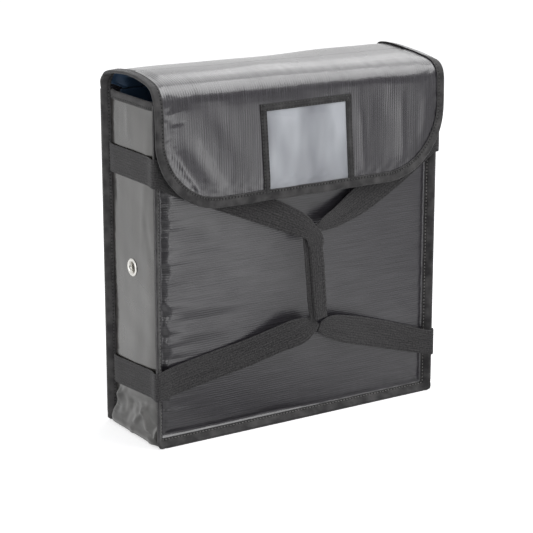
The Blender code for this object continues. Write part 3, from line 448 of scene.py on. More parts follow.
strip_s = np.linspace(0, seam_length(TOP), 560)[:, None]
strip_y = places_between(-HALF_DEPTH - FLANGE, HALF_DEPTH + FLANGE, 0.0010, 0.0021, 0.02)[None, :]
seam_x, seam_z, out_x, out_z = seam_path(strip_s, TOP)
strip_h = gusset_height(seam_x, seam_z, strip_y, strip_s)
to_floor = (seam_z - 0.0002) / np.maximum(-out_z, 0.1)
strip_h = np.where(out_z < -0.1, np.minimum(strip_h, to_floor), strip_h)
strip_full = np.where(np.abs(strip_y) < HALF_DEPTH, np.clip(strip_h / BOTTOM_SWELL, 0, 1), 0.0)
strip_wide = strip_y * (1 + 0.07 * smooth((0.030 - seam_z) / 0.020) * strip_full)
strip_points = points_of(seam_x + out_x * strip_h, strip_wide, seam_z + out_z * strip_h)
gusset = lay("gusset", strip_points, (strip_s, strip_y), CLOTH, hole=EYE_HOLE)
gusset_cloth = coated_cloth("coated_cloth_gusset", 0.0031, 0.12, 0.00012, (0.014, 0.013, 0.011),
                            (0.040, 0.036, 0.031), "Smear", 0.18, (0.22, 0.38))
dress(gusset, gusset_cloth, "coated_cloth", "bag", "gusset_outer", "gusset_foam_left", "gusset_foam_right",
      "gusset_foam_bottom")


# Edge tapes: black woven tape folded over each seam flange and sewn through, one round the
# front panel's seam and one round the back panel's.  The thread dimples the tape.
TAPE_REACH = 0.0125
TAPE_HALF = 0.00205
TAPE = 0.0008
TAPE_INNER = -0.0018
STITCH = 0.0048
SEWN_IN = 0.0030


def run_of(path):
    """Length run along a path at each of its points."""
    return np.concatenate(([0.0], np.cumsum(np.linalg.norm(np.diff(path, axis=0), axis=1))))


def folded_tape(run, inner, tip, above, below):
    """Section of a folded tape as a ring of (along, apart) points for each place of the run: out
    along the upper face, round the fold at the tip, back along the lower face, and the same one
    ply in.  Where it is sewn, a bell in from the inner edge draws both faces in."""
    share = np.array((0.0, 0.07, 0.15, 0.22, 0.30, 0.38, 0.48, 0.62, 0.80, 1.0))[None, :]
    turn = np.linspace(np.pi / 2, -np.pi / 2, 7)[None, 1:-1]
    dimple = np.maximum(np.cos(2 * np.pi * run / STITCH)[:, None], 0.0)
    tip = tip + 0 * dimple
    bend = (above + below) / 2
    middle = (above - below) / 2
    along = inner + (tip - bend - inner) * share
    sewn = np.exp(-((along - inner - SEWN_IN) / 0.0011) ** 2) * (0.22 + 0.40 * dimple ** 2)
    lip = 0.25 * np.exp(-((along - inner) / 0.0005) ** 2)
    belly = 0.06 * np.sin(np.pi * share)

    def ring(ply):
        upper = above * (1 - sewn - lip + belly) - ply
        lower = ply - below * (1 - sewn - lip + belly)
        tips = tip - bend + (bend - ply) * np.cos(turn)
        apart = middle + (bend - ply) * np.sin(turn)
        return np.stack((np.concatenate((along, tips, along[:, ::-1]), 1),
                         np.concatenate((upper, apart + 0 * tips, lower[:, ::-1]), 1)), -1)

    return np.concatenate((ring(0.0), ring(TAPE)[:, ::-1]), 1)


def carry(name, root, out, up, section, body, node):
    """A folded tape carried along a path: each row is root + along times out + apart times up.
    The cloth's u is the length of the path, and its v the distance from the nearer edge."""
    points = root[:, None] + section[..., :1] * out[:, None] + section[..., 1:] * up[:, None]
    v = run_of(section[len(section) // 2, :section.shape[1] // 2])
    v = v[-1] / 2 - np.abs(v - v[-1] / 2)
    tape = lay(name, points, (run_of(root)[:, None], np.concatenate((v, v[::-1], v[:1]))[None, :]), ring=True)
    dress(tape, edge_cloth, "edge_tape", body, node)


def woven_tape_group():
    """Fine ribs across a woven tape's length, broken up by noise, with a fuzz of loose fibre."""
    tree, inlet, outlet = shared_group("woven_tape", (("Spacing", 0.0011),), ("Height", "Cloud"))
    cloth = inlet.outputs["Cloth"]
    turns = maths(tree, "DIVIDE", split(tree, cloth)[0], inlet.outputs["Spacing"])
    turns = maths(tree, "MULTIPLY_ADD", noise(tree, cloth, 160.0, 1.0), 0.8, turns)
    wave = maths(tree, "SINE", maths(tree, "MULTIPLY", turns, 2 * np.pi))
    fuzz = maths(tree, "MULTIPLY", noise(tree, cloth, 1500.0), 0.7)
    height = maths(tree, "MULTIPLY_ADD", wave, 0.4, fuzz)
    feed(tree, outlet, Height=height, Cloud=noise(tree, cloth, 60.0, 4.0))
    return tree


def tape_cloth(name, dark, light, sewn_in=SEWN_IN):
    """Black woven tape: matt, with a faint sheen of fibre and paler rubbed patches.  Shade is painted into
    its colour along the grooved line of the stitching, at its distance from the edge, darkest at the needle's
    holes."""
    made, tree, shader, uv = shade(name, 0.72, Sheen_Weight=0.25, Sheen_Roughness=0.45)
    weave = wire(tree, "ShaderNodeGroup", (("Cloth", uv),), node_tree=woven_tape).outputs
    u, v, _ = split(tree, uv)
    hole = maths(tree, "COSINE", maths(tree, "MULTIPLY", u, 2 * np.pi / STITCH))
    hole = maths(tree, "MULTIPLY_ADD", maths(tree, "MAXIMUM", hole, 0.0), 0.80, 0.20)
    # Painted shade: the grooved line of stitching is darkened almost to black in the colour, most at the
    # needle holes.
    stitch_shade = maths(tree, "ABSOLUTE", maths(tree, "SUBTRACT", v, sewn_in))
    stitch_shade = maths(tree, "MULTIPLY", remap(tree, stitch_shade, 0.0010, 0.0021, 1.0, 0.0), hole)
    cloth = mix(tree, remap(tree, weave["Cloud"], 0.35, 0.68), dark, light)
    feed(tree, shader, Base_Color=mix(tree, stitch_shade, cloth, (0.002, 0.002, 0.002)),
         Normal=bump(tree, weave["Height"], 0.9, 0.00012))
    return made


def sew(name, path, up, body, thread, length=None):
    """A row of stitches: beads of thread a stitch apart along a path, each a six-sided ring swept
    over five places, thin and low at both ends and full in the middle.  length is the run that
    spaces them, so that the beads lie between the tape's dimples."""
    length = run_of(path) if length is None else length
    at = np.arange(0.5, length[-1] / STITCH - 0.5) * STITCH

    def read(values, where):
        return np.stack([np.interp(where, length, column) for column in values.T], -1)

    ahead = read(path, at + 0.0005) - read(path, at - 0.0005)
    ahead /= np.linalg.norm(ahead, axis=1)[:, None]
    lift = read(up, at)
    lift /= np.linalg.norm(lift, axis=1)[:, None]
    side = np.cross(lift, ahead)
    place = np.array((-1.0, -0.8, 0.0, 0.8, 1.0)) * 0.0016
    thick = np.array((0.35, 0.8, 1.0, 0.8, 0.35)) * 0.00046
    height = np.array((-0.9, -0.1, 0.45, -0.1, -0.9)) * 0.00040
    turn = np.linspace(0, 2 * np.pi, 7)[:-1]
    across = thick[:, None] * np.cos(turn)
    upward = height[:, None] + thick[:, None] * np.sin(turn)
    bead = (read(path, at)[:, None, None] + place[None, :, None, None] * ahead[:, None, None]
            + across[None, ..., None] * side[:, None, None] + upward[None, ..., None] * lift[:, None, None])
    ring = np.pad(np.arange(30).reshape(5, 6), ((0, 0), (0, 1)), mode="wrap")
    base = 30 * np.arange(len(at))[:, None]
    faces = (quads_of(ring)[:, (0, 3, 2, 1)][None] + base[..., None]).reshape(-1, 4).tolist()
    faces += (ring[0, :6] + base).tolist() + (ring[4, 5::-1] + base).tolist()
    mesh = bpy.data.meshes.new(name)
    mesh.from_pydata(bead.reshape(-1, 3).tolist(), [], faces)
    mesh.shade_smooth()
    dress(add_object(name, mesh), thread, "edge_tape", body)


def spun_thread(name, dark, light):
    """Polyester thread with a soft shine, mottled along its Object coordinates."""
    made, tree, shader, _ = shade(name, 0.5, Sheen_Weight=0.3)
    twist = noise(tree, wire(tree, "ShaderNodeTexCoord").outputs["Object"], 900.0)
    feed(tree, shader, Base_Color=mix(tree, twist, dark, light), Normal=bump(tree, twist, 0.5, 0.0001))
    return made


woven_tape = woven_tape_group()
edge_cloth = tape_cloth("edge_tape", (0.015, 0.014, 0.015), (0.068, 0.065, 0.065))
light_thread = spun_thread("thread_grey", (0.13, 0.125, 0.12), (0.26, 0.25, 0.24))
dark_thread = spun_thread("thread_black", (0.028, 0.027, 0.027), (0.066, 0.064, 0.063))


def seam_tape(name, side, top, seed, node):
    """Tape round a panel's seam: the path is the seam, and the frame leans out at 45 degrees."""
    run = np.linspace(0, seam_length(top), int(seam_length(top) / 0.0015))
    x, z, out_x, out_z = seam_path(run, top)
    lean = np.sqrt(0.5)
    out = points_of(out_x * lean, side * lean, out_z * lean)
    up = points_of(-out_x * lean, side * lean, -out_z * lean)
    root = points_of(x, side * HALF_DEPTH, z) + up * (0.00022 * rumple(run, 0, 0.05, seed))[:, None]
    corner = np.exp(-(past_corner(run, top) / 0.0021) ** 2)
    tip = (TAPE_REACH - 0.0002) * (1 + 0.34 * corner) + 0.00025 * rumple(run, 0, 0.035, seed + 1)
    full = TAPE_HALF * (1 + 0.07 * rumple(run, 0, 0.028, seed + 2))[:, None]
    carry(name, root, out, up, folded_tape(run, TAPE_INNER, tip[:, None], full, full), "bag", node)
    sewn = root + out * (TAPE_INNER + SEWN_IN)
    sew(name + "_stitches_inner", sewn + up * (full * 0.90), up, "bag", light_thread, run_of(root))
    sew(name + "_stitches_outer", sewn - up * (full * 0.90), -up, "bag", dark_thread, run_of(root))


seam_tape("front_edge_tape", -1, MOUTH, 51, "front_edge_binding")
seam_tape("back_edge_tape", 1, FLAP_START, 61, "back_edge_binding")


# Mouth tapes: the same tape folded over the top edge of the front panel and of each side of
# the gusset, where cloth and lining meet above the foam.
def mouth_tape(name, root, up, node):
    """Tape along the mouth: upright section, its outer leg along up and its fold on top."""
    run = run_of(root)
    out = np.broadcast_to((0.0, 0.0, 1.0), root.shape)
    up = np.broadcast_to(up, root.shape)
    inner = -0.0115
    root = root + out * (0.0003 * rumple(run, 0, 0.05, 71) - 0.0003)[:, None]
    carry(name, root, out, up, folded_tape(run, inner, 0.0, 0.0012, 0.0029), "bag", node)
    sew(name + "_stitches", root + out * (inner + SEWN_IN) + up * 0.00105, up, "bag", dark_thread)


mouth_x = np.linspace(-0.2105, 0.2105, 300)
mouth_tape("front_mouth_tape", points_of(mouth_x, -HALF_DEPTH, MOUTH), (0.0, -1.0, 0.0),
           "front_mouth_binding")
for side, word in ((-1, "left"), (1, "right")):
    mouth_y = np.linspace(-0.0570, 0.0570, 90)
    brim = gusset_height(side * HALF_WIDTH, MOUTH - 0.008, mouth_y, 0.0)
    mouth_tape("gusset_mouth_tape_" + word, points_of(side * (HALF_WIDTH + brim), mouth_y, MOUTH),
               (side, 0.0, 0.0), "gusset_mouth_binding_" + word)


# Linings: dark navy cloth laid over the foam inside, one piece for each panel and one strip for
# the gusset.  Near the mouth each comes out to meet the coated cloth under the tape.
WALL = 0.0102
THIN = 0.0019
LINING_HALF = 0.2055
LINING_LOW = 0.0206
LINING_PLY = 0.0006

# Their cloth is a plain weave with a soft sheen, its waves about a millimetre apart.
navy_lining, tree, shader, uv = shade("lining_cloth", 0.48, Sheen_Weight=0.2, Sheen_Roughness=0.4)
sockets = (("Cloth", uv), ("Spacing", 0.0012), ("Rib", 0.5))
weave = wire(tree, "ShaderNodeGroup", sockets, node_tree=ribbed_cloth).outputs
feed(tree, shader, Base_Color=mix(tree, weave["Cloud"], (0.022, 0.046, 0.088), (0.046, 0.092, 0.165)),
     Normal=bump(tree, weave["Height"], 0.8, 0.00012))


def foam_depth(z):
    """How far in the lining lies at a height: behind the foam, and just behind the cloth above it."""
    return THIN + (WALL - THIN) * smooth((0.4515 - z) / 0.010)


for word, side, top in (("front", -1, TOP), ("back", 1, FLAP_START)):
    x = places_between(-LINING_HALF, LINING_HALF, 0.002, 0.005, 0.03)[None, :]
    z = places_between(LINING_LOW, top, 0.002, 0.005, 0.03)[:, None]
    near = np.minimum(LINING_HALF - np.abs(x), z - LINING_LOW)
    wave = 0.0005 * rumple(x, z, 0.11, 81 + side) + 0.0003 * rumple(x, z, 0.03, 83)
    depth = (foam_depth(z) if side < 0 else WALL) + wave * smooth(near / 0.02)
    lining = lay(word + "_lining_sheet", points_of(x, side * (HALF_DEPTH - depth), z), (x, z), LINING_PLY,
                 inwards=True)
    dress(lining, navy_lining, "lining_cloth", "bag", word + "_lining")

inner_s = np.linspace(0, seam_length(TOP), 420)[:, None]
inner_y = places_between(-0.0500, 0.0500, 0.002, 0.004, 0.02)[None, :]
x, z, out_x, out_z = seam_path(inner_s, TOP)
rise = gusset_swell(z)[0] * (1 - np.abs(inner_y / HALF_DEPTH) ** 8.0) * (1 - 0.5 * smooth((z - 0.41) / 0.05))
rise = rise - foam_depth(z) + 0.0004 * rumple(inner_y, z + x, 0.05, 91)
points = points_of(x + out_x * rise, inner_y, z + out_z * rise)
lining = lay("gusset_lining_sheet", points, (inner_s, inner_y), LINING_PLY, inwards=True, hole=EYE_HOLE)
dress(lining, navy_lining, "lining_cloth", "bag", "gusset_lining")


# Flap cloth: the back panel's cloth runs on over the mouth and down over the front, with foam
# in its flat parts.  It hangs higher at the left than at the right.  One piece bends at the
# back, and one at the front, and they meet along the crown.
HALF_FLAP = 0.227
HEM = 0.3215
HEM_ROUND = 0.095
KEY_RUN = 0.011
CROWN = 8.5
# Profiles of the outer face, y and z in millimetres, from the back panel over the top to the hem.
FLAP_LEFT = np.array(((60.0, 462), (60.7, 468), (60.4, 474.4), (58.2, 480.8), (53.2, 486), (45.0, 489.4),
                      (34, 491.5), (20, 493), (4, 494.4), (-12, 494.9), (-27, 494), (-41, 491.7),
                      (-54, 488.6), (-66, 483.4), (-73.4, 475.6), (-77.2, 466.4), (-78.7, 455.6),
                      (-79.4, 444), (-79.9, 430), (-80.6, 407), (-81.4, 380), (-82.4, 350),
                      (-83.4, 328), (-84, 312))) * 0.001
FLAP_MIDDLE = np.array(((60.0, 462), (60.4, 468), (59.8, 474), (57.4, 479.6), (52.4, 484), (44.5, 487),
                        (34, 488.4), (20, 489.2), (4, 489.4), (-12, 488.9), (-27, 487.9), (-41, 486.3),
                        (-54, 484.2), (-65, 479.8), (-72.6, 472.8), (-76.4, 464.2), (-77.8, 454.6),
                        (-78.6, 444), (-79.1, 430), (-80, 407), (-81, 380), (-82.2, 350), (-83.3, 328),
                        (-84, 312))) * 0.001
FLAP_RIGHT = np.array(((60.0, 462), (60.7, 468), (60.4, 474.4), (58.4, 480.2), (53.8, 484.4), (46, 486.4),
                       (34.5, 487.4), (20, 487.2), (4, 486.2), (-12, 485), (-27, 483.8), (-41, 482),
                       (-54, 480), (-66, 476.6), (-74, 470.6), (-78.0, 463), (-79.6, 455.4), (-80.4, 444),
                       (-80.6, 430), (-80.4, 407), (-81.2, 380), (-82.2, 350), (-83.3, 328),
                       (-84, 312))) * 0.001
FLAP_FOLDS = ((0.094, 0.330, 0.088, 0.440, 0.0042, 0.0013, 0.5),
              (0.158, 0.336, 0.155, 0.450, 0.0048, 0.0015, 0.4),
              (0.125, 0.340, 0.124, 0.450, 0.0140, -0.0008), (0.192, 0.356, 0.196, 0.450, 0.0090, 0.0009),
              (-0.150, 0.325, -0.208, 0.412, 0.0075, 0.0017, -0.4),
              (-0.104, 0.328, -0.176, 0.436, 0.0100, 0.0009, -0.4),
              (-0.128, 0.330, -0.190, 0.424, 0.0080, -0.0006), (-0.090, 0.340, -0.168, 0.460, 0.0140, 0.0006),
              (-0.212, 0.448, -0.176, 0.455, 0.0050, 0.0012), (-0.212, 0.437, -0.182, 0.439, 0.0040, -0.0009),
              (0.030, 0.462, 0.200, 0.452, 0.0100, 0.0006))


def through(keys, at):
    """A smooth curve through keys: a Catmull-Rom cubic, one unit of at from key to key."""
    keys = np.vstack((2 * keys[0] - keys[1], keys, 2 * keys[-1] - keys[-2]))
    at = np.clip(at, 0, len(keys) - 3 - 1e-9)
    low = at.astype(int)
    t = (at - low)[..., None]
    a, b, c, d = keys[low], keys[low + 1], keys[low + 2], keys[low + 3]
    return 0.5 * (2 * b + (c - a) * t + (2 * a - 5 * b + 4 * c - d) * t ** 2
                  + (3 * b - a - 3 * c + d) * t ** 3)


flap_line = np.linspace(16, 23, 1401)
flap_heights = through(FLAP_MIDDLE, flap_line)[:, 1]


def flap_at(z):
    """The profile's place, in keys, at a height on the flap's front."""
    return np.interp(-z, -flap_heights, flap_line)


def flap_point(x, at):
    """A point on the flap's outer face: the left, middle and right profiles at the same place,
    mixed by a parabola across.  Near the start its edges lean back into the seam flange."""
    share = (x / HALF_FLAP)[..., None]
    profile = (through(FLAP_LEFT, at) * ((share ** 2 - share) / 2)
               + through(FLAP_MIDDLE, at) * (1 - share ** 2)
               + through(FLAP_RIGHT, at) * ((share ** 2 + share) / 2))
    lean = smooth((3.4 - at) / 3.0) * np.maximum(np.abs(x) - 0.2150, 0.0)
    return np.stack((x, profile[..., 0] + lean, profile[..., 1] + 0.35 * lean), -1)


def flap_normal(x, at):
    """Outward normal of the flap's face, from its slopes along and across."""
    across = flap_point(x + 0.0004, at) - flap_point(x - 0.0004, at)
    along = flap_point(x, at + 0.02) - flap_point(x, at - 0.02)
    square = np.cross(along, across)
    return square / np.linalg.norm(square, axis=-1)[..., None]


def flap_inset(x, z):
    """Distance inside the flap's bound edge, with its two round corners at the hem."""
    corner_x = np.abs(x) - (HALF_FLAP - HEM_ROUND)
    corner_z = HEM + HEM_ROUND - z
    square = np.minimum(HALF_FLAP - np.abs(x), z - HEM)
    return np.where((corner_x > 0) & (corner_z > 0), HEM_ROUND - np.hypot(corner_x, corner_z), square)


def evenly(keys, first, last, step):
    """Places from one key to another, a step of a millimetre or two apart along the keys' curve."""
    fine = np.linspace(first, last, 2001)
    length = run_of(through(keys, fine))
    return np.interp(np.linspace(0, length[-1], int(length[-1] / step) + 1), length, fine)


def flap_swell(x, at, z):
    """How the flap's cloth stands off its smooth face: thin at the tape, fuller over the foam,
    soft upright folds on the front, slanting ones by the round corners, and fine puckers."""
    inset = flap_inset(x, z)
    front = smooth((at - 13.0) / 3.5)
    free = smooth((inset - 0.010) / 0.022)
    height = 0.0012 * free - 0.0006
    height += 0.0009 * free * (1 - 0.3 * front) * rumple(x, at * KEY_RUN, 0.13, 101)
    height += 0.0004 * free * front * rumple(x + 0.3 * z, 0.6 * z, 0.055, 103)
    height += 0.00014 * free * smooth((at - 9) / 3) * rumple(x, 0.25 * z, 0.016, 104)
    height += 0.00035 * np.exp(-np.abs(inset - 0.017) / 0.010) * rumple(x + 0.6 * z, z - 0.6 * x, 0.012, 105)
    return add_folds(height, np.where(at > 13, 1, 0), x, z, FLAP_FOLDS)


def lining_wave(x, at):
    """Soft unevenness of the flap's lining."""
    return 0.0005 * rumple(x, at * KEY_RUN, 0.09, 111)


def flap_grid(first, last, step, corners):
    """x and profile place over a section of the flap, row by row, narrowed by the hem's corners."""
    at = evenly(FLAP_MIDDLE, first, last, step)
    half = HALF_FLAP - 0.0003 - 0.0024 * smooth((3.4 - at) / 3.0)
    if corners:
        turn = np.linspace(0, np.pi / 2, 64)[1:]
        at = np.concatenate((at, flap_at(HEM + HEM_ROUND - HEM_ROUND * np.sin(turn) + 0.0003)))
        half = np.concatenate((half, HALF_FLAP - 0.0003 - HEM_ROUND * (1 - np.cos(turn))))
    share = places_between(-1.0, 1.0, 0.0052, 0.0125, 0.12)
    return share[None, :] * half[:, None], at[:, None] + 0 * share[None, :]


ROUND_TOP = float(flap_at(HEM + HEM_ROUND))
BACK_BEND = ("bag", "flap_top", (0.0, 0.0600, 0.4625), (0.0, 0.0400, 0.4870))
FRONT_BEND = ("flap_top", "flap_front", (0.0, -0.0500, 0.4870), (0.0, -0.0790, 0.4520))
flap_cloth = coated_cloth("coated_cloth_flap", 0.0035, 1.0, 0.00020)
for part, grid, bend in (("flap_top", flap_grid(0.0, CROWN, 0.0016, False), BACK_BEND),
                         ("flap_front", flap_grid(CROWN, ROUND_TOP, 0.0021, True), FRONT_BEND)):
    x, at = grid
    base = flap_point(x, at)
    points = base + flap_normal(x, at) * flap_swell(x, at, base[..., 2])[..., None]
    flap = lay(part + "_cloth", points, (x, at * KEY_RUN), CLOTH, away=(0.0, 0.0, 0.42))
    dress(flap, flap_cloth, "coated_cloth", bend, part + "_outer", part + "_foam")
    inner_x = x * 0.992 * (1 - 0.094 * smooth((2.2 - at) / 2.2))
    base = flap_point(inner_x, at)
    inset = flap_inset(inner_x, base[..., 2])
    depth = THIN + (WALL - THIN) * np.maximum(smooth((inset - 0.0175) / 0.016), smooth((1.5 - at) / 1.5))
    depth = depth + lining_wave(inner_x, at) * smooth((inset - 0.02) / 0.02)
    points = base - flap_normal(inner_x, at) * depth[..., None]
    lining = lay(part + "_lining_sheet", points, (x, at * KEY_RUN), LINING_PLY, away=(0.0, 0.0, 0.42),
                 inwards=True)
    dress(lining, navy_lining, "lining_cloth", bend, part + "_lining")


# Flap tapes: the edge tape goes on up both sides of the flap and round its hem, 15 mm wide,
# and is sewn with one row of long stitches.
def edge_frame(x, at, side, lean):
    """Frame on the flap's edge: out across the edge in the cloth's face, up along its normal,
    both turned about the edge by the lean of the seam flange."""
    square = flap_normal(x, at)
    level = np.zeros_like(square)
    level[..., 0] = side
    out = level - square * np.sum(level * square, -1)[..., None]
    out /= np.linalg.norm(out, axis=-1)[..., None]
    cos, sin = np.cos(lean)[..., None], np.sin(lean)[..., None]
    return out * cos + square * sin, square * cos - out * sin


def droop(x, at):
    """How far the tape hangs down from the crown's edge, as an angle: more at the right end."""
    return -np.where(x > 0, 0.40, 0.05) * smooth((at - 3.0) / 2.0) * smooth((14.0 - at) / 4.0)


for side, word in ((-1, "left"), (1, "right")):
    at = evenly(FLAP_MIDDLE, 0.0, CROWN, 0.0014)
    seamed = smooth((3.4 - at) / 3.0)
    out, up = edge_frame(side * 0.2138 + 0 * at, at, side, seamed * np.pi / 4 + droop(side, at))
    root = flap_point(side * 0.2145 + 0 * at, at)
    root[:, 0] = side * HALF_WIDTH
    run = run_of(root)
    seamed = seamed[:, None]
    inner = TAPE_INNER * seamed - 0.0035 * (1 - seamed)
    tip = 0.0123 + 0.0002 * rumple(run, 0, 0.04, 121)[:, None]
    section = folded_tape(run, inner, tip, TAPE_HALF * seamed + 0.0012 * (1 - seamed),
                          TAPE_HALF * seamed + 0.0031 * (1 - seamed))
    carry("flap_side_tape_" + word, root, out, up, section, BACK_BEND, "flap_side_binding_" + word)
    sewn = root + out * (inner + SEWN_IN) + up * (0.0011 + 0.0007 * seamed)
    sew("flap_side_stitches_" + word, sewn, up, BACK_BEND, dark_thread, run)

at = evenly(FLAP_MIDDLE, CROWN, ROUND_TOP, 0.0014)
turn = np.linspace(0, np.pi / 2, 108)[1:]
x = np.concatenate((0 * at + HALF_FLAP, HALF_FLAP - HEM_ROUND * (1 - np.cos(turn))))
at = np.concatenate((at, flap_at(HEM + HEM_ROUND * (1 - np.sin(turn)))))
foot_x = np.linspace(HEM_ROUND - HALF_FLAP, HALF_FLAP - HEM_ROUND, 190)[1:-1]
x = np.concatenate((-x, foot_x, x[::-1]))
at = np.concatenate((at, 0 * foot_x + at[-1], at[::-1]))
path, up = flap_point(x, at), flap_normal(x, at)
ahead = np.gradient(path, axis=0)
ahead /= np.linalg.norm(ahead, axis=1)[:, None]
out = np.cross(up, ahead)
out *= np.sign(np.sum(out * (path - (0.0, -0.08, 0.43)), 1))[:, None]
run = run_of(path)
hang = np.where(at < 14.0, droop(x, at), 0.0)[:, None]
path = path + 0.011 * (out * (np.cos(hang) - 1) + up * np.sin(hang))
out, up = out * np.cos(hang) + up * np.sin(hang), up * np.cos(hang) - out * np.sin(hang)
wave = rumple(run, 0, 0.045, 131)[:, None]
wide = 0.0112 + 0.0022 * smooth((0.425 - path[:, 2]) / 0.080)[:, None]
section = folded_tape(run, -wide + 0.0002 * wave, 0.0013 + 0.0003 * wave, 0.0012, 0.0031 + 0.0001 * wave)
carry("flap_hem_tape", path, out, up, section, FRONT_BEND, "flap_front_binding")
sewn = path + out * (SEWN_IN - wide) + up * 0.00085
sew("flap_hem_stitches", sewn, up, FRONT_BEND, dark_thread, run)


# Ticket window: a pocket of clear vinyl laid on the flap.  Its foot is caught under the hem tape
# and three mitred tapes hold its other edges.  The vinyl waves a little and looks milky.
WINDOW_LOW = 0.3335
WINDOW_CLEAR_TOP = 0.4390
WINDOW_HALF = 0.0625
WINDOW_TAPE = 0.0095
PANE_MARGIN = 0.0080


def window_place(a, z):
    """x on the flap for a distance from the window's middle line, which leans to the right."""
    return a + 0.0003 + 0.0040 * (WINDOW_CLEAR_TOP - z) / 0.105


def on_flap(x, z, lift):
    """A point a lift above the flap's front face, and that face's normal."""
    at = flap_at(z)
    square = flap_normal(x, at)
    swell = flap_swell(x, at, z)
    return flap_point(x, at) + square * (swell + lift)[..., None], square


# The vinyl is glossy and hazy, with paler slanting patches painted into its colour as soft highlights where
# it waves.
vinyl, tree, shader, uv = shade("clear_vinyl", 0.16, Coat_Weight=0.4, Coat_Roughness=0.08,
                                Transmission_Weight=0.25, IOR=1.45)
painted_sheen = remap(tree, noise(tree, stretch(tree, uv, (15.0, 6.0, 1.0), 0.75), 1.0), 0.40, 0.62)
feed(tree, shader, Base_Color=mix(tree, painted_sheen, (0.33, 0.34, 0.37), (0.62, 0.64, 0.68)),
     Normal=bump(tree, noise(tree, uv, 70.0, 3.0), 0.25, 0.001))

pane_a = np.linspace(-WINDOW_HALF - PANE_MARGIN, WINDOW_HALF + PANE_MARGIN, 110)[None, :]
pane_z = np.linspace(WINDOW_LOW - 0.0035, WINDOW_CLEAR_TOP + PANE_MARGIN, 90)[:, None]
pane_x = window_place(pane_a, pane_z)
pane_z = pane_z + 0 * pane_x
pane_free = (smooth((WINDOW_HALF - np.abs(pane_a)) / 0.012) * smooth((WINDOW_CLEAR_TOP - pane_z) / 0.012)
             * smooth((pane_z - WINDOW_LOW) / 0.010))
pane_wave = (0.0009 * rumple(pane_x + 0.5 * pane_z, 0.6 * pane_z, 0.044, 141)
             + 0.0002 * rumple(pane_x, 0.3 * pane_z, 0.018, 142))
pane_points, _ = on_flap(pane_x, pane_z, 0.0005 + pane_free * (0.0011 + pane_wave))
pane = lay("window_vinyl", pane_points, (pane_x, pane_z), 0.0004, away=(0.0, 0.0, 0.40))
dress(pane, vinyl, "clear_vinyl", "flap_front", "window_sheet")

frame_half = WINDOW_HALF + WINDOW_TAPE / 2
frame_top = WINDOW_CLEAR_TOP + WINDOW_TAPE / 2
side_z = np.linspace(WINDOW_LOW - 0.004, frame_top, 84)
top_a = np.linspace(-frame_half, frame_half, 104)[1:-1]
frame_a = np.concatenate((np.full(84, -frame_half), top_a, np.full(84, frame_half)))
frame_z = np.concatenate((side_z, 0 * top_a + frame_top, side_z[::-1]))
frame_out = np.zeros((len(frame_a), 2))
left_corner, right_corner = len(side_z) - 1, len(side_z) + len(top_a)
frame_out[:left_corner + 1, 0] = -1
frame_out[left_corner:right_corner + 1, 1] = 1
frame_out[right_corner:, 0] = 1
across = np.array((-0.5, -0.47, -0.40, -0.33, -0.25, 0.0, 0.25, 0.33, 0.40, 0.47, 0.5))
rise = np.array((0.0006, 0.0011, 0.00125, 0.0008, 0.00125, 0.0013, 0.00125, 0.0008, 0.00125, 0.0011, 0.0004))
corner_dip = np.where(np.abs(frame_out).sum(1) > 1.5, 0.6, 1.0)[:, None]
tape_a = np.concatenate((across, across[::-1]))[None, :] * WINDOW_TAPE
tape_lift = np.concatenate((rise, 0 * rise + 0.0002))[None, :] * corner_dip + 0.0006
edge_a = frame_a[:, None] + tape_a * frame_out[:, :1]
edge_z = frame_z[:, None] + tape_a * frame_out[:, 1:]
edge_x = window_place(edge_a, edge_z)
frame_points, _ = on_flap(edge_x, edge_z, tape_lift)
frame_run = run_of(np.stack((frame_a, frame_z), -1))[:, None]
frame_v = WINDOW_TAPE / 2 - np.abs(np.append(tape_a[0], tape_a[0, 0]))[None, :]
frame_tape = lay("window_tape", frame_points, (frame_run, frame_v), ring=True)
frame_cloth = tape_cloth("window_tape", (0.013, 0.012, 0.013), (0.055, 0.053, 0.053), 0.0016)
dress(frame_tape, frame_cloth, "edge_tape", "flap_front", "window_binding")
for share, word in ((-0.33, "inner"), (0.33, "outer")):
    sewn_a = frame_a + share * WINDOW_TAPE * frame_out[:, 0]
    sewn_z = frame_z + share * WINDOW_TAPE * frame_out[:, 1]
    sewn_points, sewn_square = on_flap(window_place(sewn_a, sewn_z), sewn_z, 0 * sewn_a + 0.0016)
    sew("window_stitches_" + word, sewn_points, sewn_square, "flap_front", dark_thread)


# Closure: a strip of stiff hooks sewn to the flap's lining, and a strip of woolly loops sewn to
# the front panel, both black and 25 mm wide.
def closure_cloth(name, grain, depth, light):
    """Black nylon pile: small tufts with shade painted dark into the pits between them, matt with a fibre
    sheen.
    """
    made, tree, shader, uv = shade(name, 0.85, Sheen_Weight=0.4, Sheen_Roughness=0.5)
    pit_shade = wire(tree, "ShaderNodeTexVoronoi", (("Vector", uv), ("Scale", grain))).outputs["Distance"]
    # Painted shade: the colour darkens from each tuft out into the pits around it.
    tone = remap(tree, pit_shade, 0.1, 0.7, 1.0, 0.0)
    feed(tree, shader, Base_Color=mix(tree, tone, (0.006, 0.006, 0.006), light),
         Normal=bump(tree, tone, 1.0, depth))
    return made


